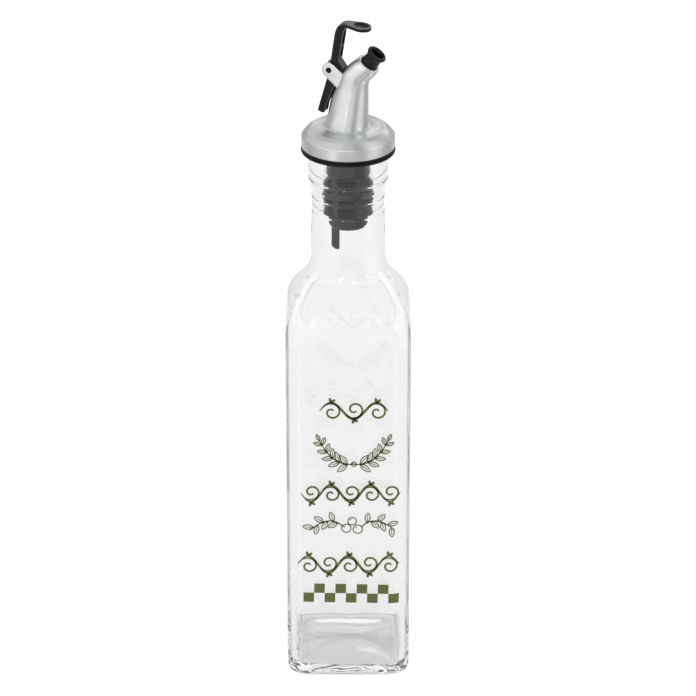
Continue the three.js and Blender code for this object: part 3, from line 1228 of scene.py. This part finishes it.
@dataclass(frozen=True)
class PourerPlace:
    """Where the pourer stands, read from the frame: its turn about the neck and its collar's underside."""

    turn: float
    base: float
    pivot: Vector

    @classmethod
    def from_frame(cls) -> PourerPlace:
        """Take the turn from the hinge's axis, and the height from the collar.

        Returns:
            The place.
        """
        hinge = frame["joints"][0]
        across = Vector(hinge["axis"])
        turn = math.atan2(across.y, across.x) - math.pi / 2
        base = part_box("collar")[0].z / MM
        stand = Matrix.Translation((0, 0, base)) @ Matrix.Rotation(turn, 4, "Z")
        pin = stand.inverted() @ (Vector(hinge["pos_m"]) / MM)
        return cls(turn=turn, base=base, pivot=Vector((pin.x, pin.z)))

    @property
    def matrix(self) -> Matrix:
        """Turn the pourer's own plane into the row frame, in millimetres."""
        return Matrix.Translation((0, 0, self.base)) @ Matrix.Rotation(self.turn, 4, "Z")

    def across_pin(self, radius: float, width: float, steps: int = 48) -> Mesh:
        """Make a cylinder about the hinge, across the pourer.

        Args:
            radius: Its radius.
            width: Its length across the pourer.
            steps: Segments round it.

        Returns:
            The closed cylinder.
        """
        bm = bmesh.new()
        stand = Matrix.Translation((self.pivot.x, 0, self.pivot.y)) @ Matrix.Rotation(math.pi / 2, 4, "X")
        bmesh.ops.create_cone(
            bm, cap_ends=True, segments=steps, radius1=radius, radius2=radius, depth=width, matrix=stand
        )
        return bm


@dataclass
class Stopper:
    """What closes the neck: the gasket, the ribbed plug, its hard insert and the breather tube."""

    place: PourerPlace
    gasket_thickness: float = 1.5
    gasket_radius: float = 17.45
    gasket_bore: float = 8.6
    lip_inner: float = 15.4
    lip_drop: float = 0.4
    plug_bottom: float = -25.2
    plug_root: float = 8.15
    plug_waist: float = 7.45
    rib_radius: float = 9.42
    insert_bottom: float = -30.85
    insert_radius: float = 7.3
    tube_offset: float = -5.2
    tube_radius: float = 1.6
    tube_bore: float = 0.8
    tube_length: float = 9.6
    tube_slant: float = 0.5
    tube_raggedness: float = 0.16
    tube_ragged_wave: float = 1.4

    def gasket(self) -> Mesh:
        """Make the gasket, with the groove between its two lips.

        Returns:
            The closed ring.
        """
        thick, edge, lip = self.gasket_thickness, self.gasket_radius, self.lip_inner
        profile = rounded(
            [
                (self.gasket_bore, -thick), (lip, -thick, 0.1),
                (lip + 0.2, -thick - self.lip_drop, 0.15), (edge - 0.2, -thick - self.lip_drop, 0.3),
                (edge, -thick + 0.45, 0.12), (edge - 0.6, -thick + 0.7, 0.08),
                (edge - 0.25, -thick + 0.98, 0.12), (edge - 0.25, -0.02, 0.2),
                (self.gasket_bore, -0.02),
            ],
            steps=4,
        )
        return revolved(profile, 128, closed=True)

    def plug(self) -> Mesh:
        """Make the plug, with a wide skirt below and four ribs that grip the bore.

        Returns:
            The closed plug.
        """
        low, root, rib = self.plug_bottom, self.plug_root, self.rib_radius
        corners = [(0.0, low), (8.2, low, 0.3), (rib - 0.15, low + 0.3, 0.25), (rib - 0.15, low + 0.9, 0.35)]
        corners.append((root, low + 3.1, 0.6))
        for height, radius in ((-20.9, rib - 0.3), (-18.8, rib - 0.22), (-16.3, rib - 0.12), (-13.2, rib)):
            corners.append((root + 0.05, height - 0.75, 0.2))
            corners.append((radius, height - 0.1, 0.16))
            corners.append((radius - 0.05, height + 0.14, 0.12))
            corners.append((root + 0.25, height + 0.8, 0.25))
        corners += [(self.plug_waist, -10.8, 0.35), (self.plug_waist, -9.9, 0.35)]
        corners += [(root + 0.1, -9.2, 0.4), (root + 0.1, -0.1), (0.0, -0.1)]
        return revolved(rounded(corners, steps=3), 96)

    def insert(self) -> Mesh:
        """Make the hard insert that shows under the plug.

        Returns:
            The closed insert.
        """
        low, radius = self.insert_bottom, self.insert_radius
        profile = rounded(
            [
                (0.0, low), (radius - 0.9, low, 0.3), (radius, low + 1.2, 0.7),
                (radius, self.plug_bottom - 1.0, 0.3), (radius - 0.5, self.plug_bottom - 0.5, 0.2),
                (radius - 0.5, self.plug_bottom - 0.02), (0.0, self.plug_bottom - 0.02),
            ],
            steps=4,
        )
        return revolved(profile, 96)

    def tube(self) -> Mesh:
        """Make the breather tube, cut off at a slant by hand.

        Returns:
            The closed tube.
        """
        low = -self.tube_length
        profile = rounded(
            [
                (self.tube_bore, low, 0.06), (self.tube_radius, low, 0.1), (self.tube_radius, 0.0),
                (self.tube_bore, 0.0),
            ],
            steps=3,
        )
        bm = revolved(profile, 40, closed=True)
        for vert in bm.verts:
            if vert.co.z < low / 2:
                spot = Vector((vert.co.x * self.tube_ragged_wave, vert.co.y * self.tube_ragged_wave, 3.0))
                vert.co.z -= self.tube_slant * vert.co.x + self.tube_raggedness * noise.noise(spot)
        bmesh.ops.translate(bm, verts=bm.verts, vec=(self.tube_offset, 0, self.insert_bottom))
        return bm

    def build(self) -> None:
        """Build and dress the stopper's pieces."""
        place = self.place.matrix
        finished("gasket_ring", self.gasket(), [GASKET_BLACK], "cruet", "gasket", place)
        finished("plug_ribbed", self.plug(), [SOFT_SEAL], "cruet", "stopper_plug", place)
        finished("plug_insert", self.insert(), [INSERT_GREY], "cruet", "core_insert", place)
        finished("breather_pipe", self.tube(), [INSERT_GREY], "cruet", "breather_tube", place)


@dataclass
class Collar:
    """The spun steel collar: a band, a domed cone, a ridge and a shallow dish round the spout."""

    place: PourerPlace
    radius: float = 17.2
    seat: float = 8.35

    def shell(self) -> Mesh:
        """Make the collar's skin.

        Returns:
            The closed collar.
        """
        radius = self.radius
        profile = rounded(
            [
                (0.0, 0.0), (radius - 0.3, 0.0, 0.1), (radius, 0.35, 0.3), (radius, 4.45, 0.45),
                (15.35, 6.6, 2.2), (13.7, 7.72, 0.7), (12.9, 7.72, 0.35), (12.3, 7.42, 0.5),
                (10.2, 7.5, 2.0), (8.8, 7.85, 1.0), (8.3, self.seat, 0.2), (0.0, self.seat),
            ],
            steps=6,
        )
        return revolved(profile, 144)

    def build(self) -> None:
        """Build and dress the collar."""
        finished("collar_shell", self.shell(), [STEEL], "cruet", "collar", self.place.matrix)


@dataclass
class Spout:
    """The steel spout with its two hinge ears, its soft nozzle and the hinge pin."""

    place: PourerPlace
    seat: float = 8.35
    tilt_degrees: float = 37.0
    mouth: Vector = Vector((8.2, 33.1))
    mouth_radius: float = 4.4
    nozzle_length: float = 5.3
    nozzle_depth: float = 3.5
    nozzle_radius: float = 3.25
    lip_radius: float = 3.85
    nozzle_bore: float = 2.4
    nozzle_bore_depth: float = 7.5
    fit: float = 0.12
    lever_half: float = 2.0
    slot_gap: float = 0.3
    slot_radius: float = 5.85
    ear_radius: float = 2.8
    ear_thickness: float = 1.2
    ear_length: float = 9.0
    ear_slope_degrees: float = -42.0
    pin_radius: float = 1.0
    pin_gap: float = 0.1

    @property
    def axis(self) -> Vector:
        """The way the spout points, in the pourer's plane."""
        tilt = math.radians(self.tilt_degrees)
        return Vector((math.sin(tilt), math.cos(tilt)))

    def sections(self) -> list[Vector]:
        """Give the spout's sections: centre along and up, tilt, and half sizes along and across."""
        return [
            Vector(numbers)
            for numbers in (
                (-0.55, self.seat, 0.0, 8.12, 8.05), (-0.4, 10.0, 0.0, 7.9, 7.85),
                (0.1, 13.0, 0.0, 7.42, 7.3), (0.5, 16.8, 0.0, 7.05, 6.6), (1.0, 20.4, 1.0, 6.58, 6.0),
                (1.95, 24.3, 4.0, 5.78, 5.3), (2.95, 27.4, 12.0, 5.55, 5.0),
                (4.7, 29.45, 21.0, 5.14, 4.8), (6.6, 31.35, 31.0, 4.75, 4.6),
                (7.75, 32.5, 37.0, 4.28, 4.28),
            )
        ]

    @staticmethod
    def between(sections: Sequence[Vector], share: float) -> Vector:
        """Give the smooth section at a share of the way through all of them.

        Args:
            sections: Sections that the result runs through.
            share: Share of the way, from 0 to 1.

        Returns:
            The section's numbers.
        """
        where = share * (len(sections) - 1)
        index = min(int(where), len(sections) - 2)
        t = where - index
        before, start = sections[max(index - 1, 0)], sections[index]
        end, after = sections[index + 1], sections[min(index + 2, len(sections) - 1)]
        return 0.5 * (
            2 * start
            + (end - before) * t
            + (2 * before - 5 * start + 4 * end - after) * t**2
            + (3 * start - before - 3 * end + after) * t**3
        )

    def rings(self) -> list[Vector]:
        """Give every ring of the spout's skin, up its outside, over the bead and down its socket.

        Returns:
            The rings, each with the numbers of a section.
        """
        sections = self.sections()
        steps = 8 * (len(sections) - 1)
        rings = [Vector((-0.55, self.seat, 0.0, 0.0, 0.0))]
        rings += [self.between(sections, step / steps) for step in range(steps + 1)]
        inner = self.nozzle_radius + self.fit
        radius = self.mouth_radius
        bead = rounded(
            [
                (radius - 0.12, -0.85), (radius + 0.08, -0.5, 0.25), (radius + 0.08, 0.0, 0.3),
                (inner, 0.0, 0.25), (inner, -self.nozzle_depth, 0.1), (0.0, -self.nozzle_depth),
            ],
            steps=4,
        )
        for size, back in bead[1:]:
            centre = self.mouth + self.axis * back
            rings.append(Vector((centre.x, centre.y, self.tilt_degrees, size, size)))
        return rings

    def ear_outline(self) -> list[Vector]:
        """Give the outline of a hinge ear: a round end about the pin and a run down into the spout.

        Returns:
            The (along, up) points.
        """
        slope = math.radians(self.ear_slope_degrees)
        run = Vector((math.cos(slope), math.sin(slope)))
        side = Vector((-run.y, run.x))
        pivot, radius = self.place.pivot, self.ear_radius
        end = pivot + run * self.ear_length
        outline = [end - side * radius, end + side * radius]
        for step in range(25):
            angle = math.pi * step / 24
            outline.append(pivot + side * (radius * math.cos(angle)) - run * (radius * math.sin(angle)))
        return outline

    def skin(self) -> Mesh:
        """Make the spout with its ears, the lever's slot and the pin's holes.

        Returns:
            The closed mesh.
        """
        rings = self.rings()

        def place(ring: int, angle: float) -> Vector:
            """Give a point of one leaning oval ring.

            Args:
                ring: Number of the ring.
                angle: Angle round it.

            Returns:
                The point.
            """
            along, up, tilt, length, width = rings[ring]
            lean = math.radians(tilt)
            reach = length * math.cos(angle)
            return Vector(
                (along + reach * math.cos(lean), width * math.sin(angle), up - reach * math.sin(lean))
            )

        bm = wrapped(len(rings), 96, place)
        inner = self.lever_half + self.slot_gap
        for low in (inner, -inner - self.ear_thickness):
            ear = plate(self.ear_outline(), low, low + self.ear_thickness, edge=0.28)
            bm = combined(bm, ear, Joining.ADD)
        bm = combined(bm, self.place.across_pin(self.slot_radius, 2 * inner, 96), Joining.CUT)
        return combined(bm, self.place.across_pin(self.pin_radius + self.pin_gap, RIGHT_THROUGH), Joining.CUT)

    def nozzle(self) -> Mesh:
        """Make the soft nozzle: a waisted tube with a flared lip.

        Returns:
            The closed mesh.
        """
        top, radius, lip = self.nozzle_length, self.nozzle_radius, self.lip_radius
        profile = rounded(
            [
                (0.0, -self.nozzle_depth + 0.1), (radius, -self.nozzle_depth + 0.1, 0.1),
                (radius, 0.4, 0.6), (radius - 0.16, 1.6, 1.6), (radius - 0.16, top - 2.2, 1.6),
                (lip - 0.12, top - 0.95, 0.5), (lip, top - 0.45, 0.3), (lip - 0.35, top, 0.3),
                (self.nozzle_bore + 0.35, top - 0.02, 0.3), (self.nozzle_bore, top - 0.8, 0.5),
                (self.nozzle_bore, top - self.nozzle_bore_depth, 0.1),
                (0.0, top - self.nozzle_bore_depth),
            ],
            steps=4,
        )
        bm = revolved(profile, 72)
        lean = Matrix.Rotation(math.radians(self.tilt_degrees), 4, "Y")
        bm.transform(Matrix.Translation((self.mouth.x, 0, self.mouth.y)) @ lean)
        return bm

    def pin(self) -> Mesh:
        """Make the pin, with a dimple in each end.

        Returns:
            The closed pin.
        """
        end = self.lever_half + self.slot_gap + self.ear_thickness + 0.15
        half = rounded(
            [(0.0, end - 0.32), (0.5, end - 0.3, 0.2), (0.72, end, 0.15), (self.pin_radius, end, 0.2)]
        )
        half.append((self.pin_radius, end - 0.5))
        profile = [*half, *((radius, -height) for radius, height in reversed(half))]
        bm = revolved(profile, 40)
        stand = Matrix.Translation((self.place.pivot.x, 0, self.place.pivot.y))
        bm.transform(stand @ Matrix.Rotation(math.pi / 2, 4, "X"))
        return bm

    def build(self) -> None:
        """Build and dress the spout's pieces."""
        place = self.place.matrix
        finished("spout_shell", self.skin(), [STEEL], "cruet", "spout_body", place)
        finished("nozzle_tip", self.nozzle(), [NOZZLE_BLACK], "cruet", "nozzle", place)
        finished("pin_dimpled", self.pin(), [BLACK], "cruet", "hinge_pin", place)


@dataclass
class Lever:
    """The hinged lever, drawn open: a channelled arm and tail, and a dished pad that covers the nozzle."""

    place: PourerPlace
    spout: Spout
    open_degrees: float = 31.0
    half: float = 2.0
    wall: float = 0.8
    edge: float = 0.3
    pad_radius: float = 3.7
    pad_thickness: float = 1.45
    pad_edge: float = 0.26
    pad_reach: float = 6.0
    seal_height: float = 0.1
    seal_radius: float = 2.9
    seal_depth: float = 0.8
    seat_gap: float = 0.3
    dish_half: tuple[float, float, float] = (3.05, 2.6, 0.95)
    dish_lift: float = 0.1
    hub_inset: float = 0.25
    # Faces that face up more than this get the painted highlight.
    painted_highlight_rise: float = 0.55

    @property
    def lean(self) -> float:
        """How far the open pad still leans, in radians."""
        return math.radians(self.spout.tilt_degrees - self.open_degrees)

    @property
    def pad_centre(self) -> Vector:
        """The underside of the pad's seal, swung back from the nozzle's lip by the open angle.

        Returns:
            The (along, up) point.
        """
        closed = self.spout.mouth + self.spout.axis * (self.spout.nozzle_length + self.seat_gap)
        swing = Matrix.Rotation(math.radians(self.open_degrees), 2)
        return self.place.pivot + swing @ (closed - self.place.pivot)

    @property
    def pad_place(self) -> Matrix:
        """Where the open pad stands, with its seal's underside at the origin before."""
        centre = self.pad_centre
        return Matrix.Translation((centre.x, 0, centre.y)) @ Matrix.Rotation(self.lean, 4, "Y")

    def on_pad(self, distance: float, height: float) -> Vector:
        """Give the point at a distance towards the pad's tip and a height over the seal's underside.

        Args:
            distance: How far from the pad's middle towards its tip.
            height: How far over the seal's underside.

        Returns:
            The (along, up) point.
        """
        lean, centre = self.lean, self.pad_centre
        return Vector(
            (
                centre.x + distance * math.cos(lean) + height * math.sin(lean),
                centre.y - distance * math.sin(lean) + height * math.cos(lean),
            )
        )

    def outline(self) -> list[Vector]:
        """Give the lever's side view: up the back of the arm's bend, round the hub and down the tail.

        Returns:
            The (along, up) points.
        """
        pivot = self.place.pivot
        hub = self.spout.ear_radius - self.hub_inset
        top = self.seal_height + self.pad_thickness

        def bend(start: Vector, control: Vector, end: Vector) -> list[Vector]:
            """Give a round bend from start to end that leans on one control point."""
            return interpolate_bezier(start, start.lerp(control, 2 / 3), end.lerp(control, 2 / 3), end, 10)

        points = [self.on_pad(0, top)]
        points += bend(self.on_pad(-5.4, top), Vector((-3.9, 48.0)), Vector((-4.75, 42.8)))
        points.append(Vector((-6.15, 33.2)))
        for step in range(17):
            angle = math.radians(104 + 144 * step / 16)
            points.append(pivot + Vector((math.cos(angle), math.sin(angle))) * hub)
        points += bend(Vector((-11.2, 13.5)), Vector((-11.1, 12.8)), Vector((-10.5, 12.6)))
        points += bend(Vector((-9.2, 12.25)), Vector((-8.5, 12.3)), Vector((-8.3, 13.1)))
        front = ((-7.8, 15.7), (-4.9, 22.8), (-1.75, 28.7), (-0.95, 30.5), (-2.9, 33.3))
        points += [Vector(pair) for pair in front]
        points += bend(Vector((-1.35, 43.2)), Vector((-1.1, 45.7)), self.on_pad(-4.5, self.seal_height))
        points.append(self.on_pad(0, self.seal_height))
        return points

    def pad(self) -> Mesh:
        """Make the pad, with its seal below.

        Returns:
            The closed pad, where it stands when open.
        """
        flare = math.atan((self.pad_radius - self.half) / self.pad_reach) + math.radians(6)
        sweep = math.pi / 2 + flare
        outline = [(-self.pad_reach, -self.half)]
        for step in range(49):
            angle = -sweep + 2 * sweep * step / 48
            outline.append((self.pad_radius * math.cos(angle), self.pad_radius * math.sin(angle)))
        outline.append((-self.pad_reach, self.half))
        bm = plate(outline, 0, self.pad_thickness, self.pad_edge, 1)
        bm.transform(Matrix.Rotation(math.pi / 2, 4, "X"))
        bmesh.ops.recalc_face_normals(bm, faces=bm.faces)
        low = min(vert.co.z for vert in bm.verts)
        bmesh.ops.translate(bm, verts=bm.verts, vec=(0, 0, self.seal_height - low))
        wide, deep = self.seal_radius, self.seal_depth
        seal = revolved(rounded([(0, 0), (wide, 0, 0.15), (wide, deep), (0, deep)], steps=4), 64)
        bm = combined(bm, seal, Joining.ADD)
        bm.transform(self.pad_place)
        return bm

    def dish(self) -> Mesh:
        """Make the hollow of the thumb dish in the top of the pad.

        Returns:
            The closed shape that is cut away.
        """
        dish = bmesh.new()
        bmesh.ops.create_uvsphere(dish, u_segments=48, v_segments=24, radius=1)
        bmesh.ops.scale(dish, verts=dish.verts, vec=self.dish_half)
        height = self.seal_height + self.pad_thickness + self.dish_lift
        bmesh.ops.translate(dish, verts=dish.verts, vec=(0, 0, height))
        dish.transform(self.pad_place)
        return dish

    def hollows(self) -> list[list[tuple[float, float]]]:
        """Give the outlines of the hollows that leave the arm and the tail as channels.

        Returns:
            The outlines, of (along, up) points.
        """
        web = self.wall
        return [
            [(-5.9 + web, 34.4), (1.0, 34.4), (1.0, 38.4), (-5.15 + web, 38.4)],
            [(-5.0 + web, 39.2), (1.0, 39.2), (1.0, 44.9), (-4.2 + web, 44.9)],
            [(-7.9 + web, 25.2), (-12.1 + web, 10.0), (-4.0, 10.0), (-3.2, 25.2)],
        ]

    def skin(self) -> Mesh:
        """Make the whole lever.

        Returns:
            The closed lever, with its rubbed faces in the second slot.
        """
        bm = plate(self.outline(), -self.half, self.half, self.edge, 1)
        bm = combined(bm, self.pad(), Joining.ADD)
        bm.normal_update()
        # Up-facing faces get the paler material: a highlight painted on the lever's top.
        for face in bm.faces:
            if face.normal.z > self.painted_highlight_rise:
                face.material_index = 1
        bm = combined(bm, self.dish(), Joining.CUT)
        inside = self.half - self.wall
        for outline in self.hollows():
            bm = combined(bm, plate(outline, -inside, inside), Joining.CUT)
        hole = self.place.across_pin(self.spout.pin_radius + self.spout.pin_gap, RIGHT_THROUGH)
        return combined(bm, hole, Joining.CUT)

    def build(self) -> None:
        """Build and dress the lever."""
        place = self.place.matrix
        finished("lever_arm", self.skin(), [BLACK, BLACK_PAINTED_HIGHLIGHT], "lever", "lever", place)


@dataclass
class Studio:
    """A pale floor, a bright room, softboxes and the camera of the photograph."""

    distance: float = 1316.24
    pitch_degrees: float = 25.009
    focal_pixels: float = 3493.77
    aim_height: float = 129.477
    aim_across: float = -0.075
    clip_end_m: float = 50.0
    lamp_aim_m: float = 0.16
    floor_half_m: float = 4.0
    floor_drop: float = 0.2
    paper: str = "#959595"
    paper_roughness: float = 0.9
    floor_glow: float = 0.64
    floor_glow_seen: float = 0.32
    foot_reach: float = 50.0
    foot_corner: float = 6.0
    # Each pair is a share of the foot's reach and the floor's level there: a shadow painted into the floor's
    # glow, round and under the foot.
    shade_near_foot: Stops = (
        (0.0, 0.81), (0.37, 0.81), (0.42, 0.97), (0.45, 0.97), (0.457, 0.25), (0.473, 0.25),
        (0.481, 1.0),
    )
    # Each pair is a bearing in degrees, from the camera's side to the right, and the room's level there.
    screens: Stops = (
        (-180, 0.72), (-140, 0.68), (-96, 0.65), (-66, 0.74), (-52, 0.79), (-28, 0.77), (-12, 0.6),
        (15, 0.67), (24, 0.32), (42, 0.32), (56, 0.9), (84, 0.83), (96, 0.56), (134, 0.59),
        (146, 0.77), (180, 0.77),
    )
    low_screens: Stops = (
        (-180, 0.9), (-150, 0.8), (-132, 0.5), (-84, 0.34), (-56, 0.3), (-44, 1.2), (-37, 1.2),
        (-29, 0.34), (16, 0.34), (25, 0.75), (48, 0.65), (60, 0.5), (76, 0.5), (92, 0.36), (132, 0.5),
        (150, 0.8), (180, 0.9),
    )
    # Each pair is the sine of a height over the horizon and a share or a level there.
    low_band: Stops = (
        (-1.0, 0.0), (-0.68, 0.0), (-0.6, 1.0), (-0.371, 1.0), (-0.363, 0.0), (1.0, 0.0),
    )
    heights_ahead: Stops = (
        (-1.0, 1.3), (-0.7, 1.3), (-0.58, 0.96), (-0.37, 0.96), (-0.35, 1.22), (-0.27, 1.22),
        (-0.19, 0.96), (-0.06, 1.2), (0.2, 1.25), (0.28, 2.2), (0.42, 2.2), (0.54, 0.95), (1.0, 0.9),
    )
    heights_behind: Stops = (
        (-1.0, 0.8), (-0.1, 0.8), (0.0, 0.5), (0.16, 0.5), (0.3, 1.0), (0.55, 1.0), (0.7, 0.75),
        (0.9, 0.7), (1.0, 1.0),
    )
    rim_of_dark: Stops = (
        (-1.0, 1.0), (0.4, 1.0), (0.44, 0.1), (0.5, 0.1), (0.54, 0.98), (1.0, 0.96),
    )
    turn_to_back: tuple[float, float] = (-0.2, 0.3)
    # Each row is what softbox() takes: name, bearing, rise, size and radiance.
    softboxes: tuple[tuple[str, float, float, tuple[float, float], float], ...] = (
        ("softbox_left", -16, 16, (0.1, 0.16), 7.0),
        ("softbox_middle", 5, 16, (0.07, 0.1), 7.0),
        ("softbox_right", 66, 16, (0.1, 0.1), 5.0),
        ("softbox_back", 139, 24.5, (0.3, 0.24), 0.4),
        ("softbox_top", 171, 35, (0.16, 0.1), 1.6),
    )
    light_bounces: int = 64

    def camera(self) -> None:
        """Stand the camera where the photograph was taken from."""
        pitch = math.radians(self.pitch_degrees)
        lens = bpy.data.cameras.new("camera")
        lens.sensor_width = SENSOR_MM
        lens.lens = self.focal_pixels / IMAGE_SIDE * SENSOR_MM
        lens.clip_end = self.clip_end_m
        made = bpy.data.objects.new("camera", lens)
        back = Vector((0, -math.cos(pitch), math.sin(pitch))) * self.distance
        made.location = (Vector((self.aim_across, 0, self.aim_height)) + back) * MM
        made.rotation_euler = (math.pi / 2 - pitch, 0, 0)
        bpy.context.scene.collection.objects.link(made)
        bpy.context.scene.camera = made

    def floor(self) -> None:
        """Lay the pale floor, with a shadow painted into its glow round the foot."""
        bm = bmesh.new()
        bmesh.ops.create_grid(bm, x_segments=2, y_segments=2, size=self.floor_half_m)
        bmesh.ops.translate(bm, verts=bm.verts, vec=(0, 0, -self.floor_drop * MM))
        floor = as_object(bm, "studio_floor")
        paint = bpy.data.materials.new("studio_paper_white")
        paint.use_nodes = True
        tree = paint.node_tree
        shader = tree.nodes["Principled BSDF"]
        shader.inputs["Base Color"].default_value = linear(self.paper)
        shader.inputs["Roughness"].default_value = self.paper_roughness
        shader.inputs["Specular IOR Level"].default_value = 0.0
        shader.inputs["Emission Color"].default_value = (1, 1, 1, 1)
        seen = add_node(tree, "ShaderNodeLightPath").outputs["Is Camera Ray"]
        spot = add_node(tree, "ShaderNodeTexCoord").outputs["Object"]
        sides = add_node(tree, "ShaderNodeVectorMath", {0: spot}, operation="ABSOLUTE")
        side = add_node(tree, "ShaderNodeSeparateXYZ", {0: sides.outputs[0]}).outputs
        squared = {0: side[0], 1: side[1], 2: self.foot_corner * MM}
        away = add_node(tree, "ShaderNodeMath", squared, operation="SMOOTH_MAX").outputs[0]
        share = add_node(tree, "ShaderNodeMapRange", {"Value": away, "From Max": self.foot_reach * MM})
        # Painted shadow: for rays other than the eye's, the floor's glow is dimmed round and under the foot.
        shade = add_node(tree, "ShaderNodeValToRGB", {0: share.outputs[0]}, self.shade_near_foot)
        dimmed = add_node(
            tree, "ShaderNodeMath", {0: shade.outputs[0], 1: self.floor_glow}, operation="MULTIPLY"
        )
        to_the_eye = self.floor_glow + self.floor_glow_seen
        glow = add_node(tree, "ShaderNodeMix", {0: seen, 2: dimmed.outputs[0], 3: to_the_eye})
        tree.links.new(glow.outputs[0], shader.inputs["Emission Strength"])
        floor.data.materials.append(paint)
        floor.visible_glossy = False

    def room(self) -> None:
        """Light the room: white to the eye and through the glass, with pale and dim screens to reflect."""
        world = bpy.data.worlds.new("studio_room")
        world.use_nodes = True
        tree = world.node_tree
        tree.nodes.clear()
        way = add_node(tree, "ShaderNodeTexCoord").outputs["Generated"]
        across, back, up = add_node(tree, "ShaderNodeSeparateXYZ", {0: way}).outputs
        ahead = add_node(tree, "ShaderNodeMath", {0: back, 1: -1.0}, operation="MULTIPLY").outputs[0]
        bearing = add_node(tree, "ShaderNodeMath", {0: across, 1: ahead}, operation="ARCTAN2").outputs[0]
        start, end = self.turn_to_back
        turned, raised, behind = [
            add_node(
                tree, "ShaderNodeMapRange", {"Value": value, "From Min": low, "From Max": high}
            ).outputs[0]
            for value, low, high in ((bearing, -math.pi, math.pi), (up, -1.0, 1.0), (back, start, end))
        ]
        before, beyond, low_down, plain = [
            add_node(tree, "ShaderNodeValToRGB", {0: raised}, centred(stops)).outputs[0]
            for stops in (self.heights_ahead, self.heights_behind, self.low_band, self.rim_of_dark)
        ]
        upper, lower = [
            add_node(tree, "ShaderNodeValToRGB", {0: turned}, centred(stops, 180)).outputs[0]
            for stops in (self.screens, self.low_screens)
        ]
        height = add_node(tree, "ShaderNodeMix", {0: behind, 2: before, 3: beyond}).outputs[0]
        high = add_node(tree, "ShaderNodeMath", {0: upper, 1: height}, operation="MULTIPLY").outputs[0]
        mirrored = add_node(tree, "ShaderNodeMix", {0: low_down, 2: high, 3: lower}).outputs[0]
        rays = add_node(tree, "ShaderNodeLightPath").outputs
        bounced = {0: rays["Is Glossy Ray"], 1: rays["Is Reflection Ray"]}
        off_surface = add_node(tree, "ShaderNodeMath", bounced, operation="MULTIPLY").outputs[0]
        unseen = add_node(tree, "ShaderNodeMix", {0: off_surface, 2: plain, 3: mirrored}).outputs[0]
        level = add_node(tree, "ShaderNodeMix", {0: rays["Is Camera Ray"], 2: unseen, 3: 1.0}).outputs[0]
        light = add_node(tree, "ShaderNodeBackground", {"Color": (1, 1, 1, 1), "Strength": level})
        add_node(tree, "ShaderNodeOutputWorld", {"Surface": light.outputs[0]})
        bpy.context.scene.world = world

    def softbox(
        self, name: str, bearing: float, rise: float, size: tuple[float, float], radiance: float
    ) -> None:
        """Hang one softbox.

        Args:
            name: Name of the lamp.
            bearing: Its direction from the cruet in degrees, from the camera's side to the right.
            rise: Its height above the shoulder, in degrees.
            size: Its width and height, in metres.
            radiance: How bright it looks, where the floor is 1.
        """
        lamp = bpy.data.lights.new(name, "AREA")
        lamp.shape = "RECTANGLE"
        lamp.size, lamp.size_y = size
        lamp.energy = radiance * math.pi * size[0] * size[1]
        made = bpy.data.objects.new(name, lamp)
        turn, lift = math.radians(bearing), math.radians(rise)
        ray = Vector((math.sin(turn) * math.cos(lift), -math.cos(turn) * math.cos(lift), math.sin(lift)))
        made.location = Vector((0, 0, self.lamp_aim_m)) + ray
        made.rotation_euler = (-ray).to_track_quat("-Z", "Y").to_euler()
        made.visible_camera = False
        bpy.context.scene.collection.objects.link(made)

    def build(self) -> None:
        """Set up the whole studio."""
        self.camera()
        self.floor()
        self.room()
        for softbox in self.softboxes:
            self.softbox(*softbox)
        cycles = bpy.context.scene.cycles
        cycles.max_bounces = cycles.glossy_bounces = cycles.transmission_bounces = self.light_bounces
        bpy.context.scene.view_settings.view_transform = "Standard"


def main() -> None:
    """Build the cruet, piece by piece, and the studio round it."""
    logging.basicConfig(level=logging.INFO, format="%(name)s: %(message)s")
    place = PourerPlace.from_frame()
    bottle = GlassBottle.from_frame()
    spout = Spout(place)
    for part in (bottle, FrontPrint(bottle), Stopper(place), Collar(place), spout, Lever(place, spout)):
        part.build()
    Studio().build()


if __name__ == "__main__":
    main()
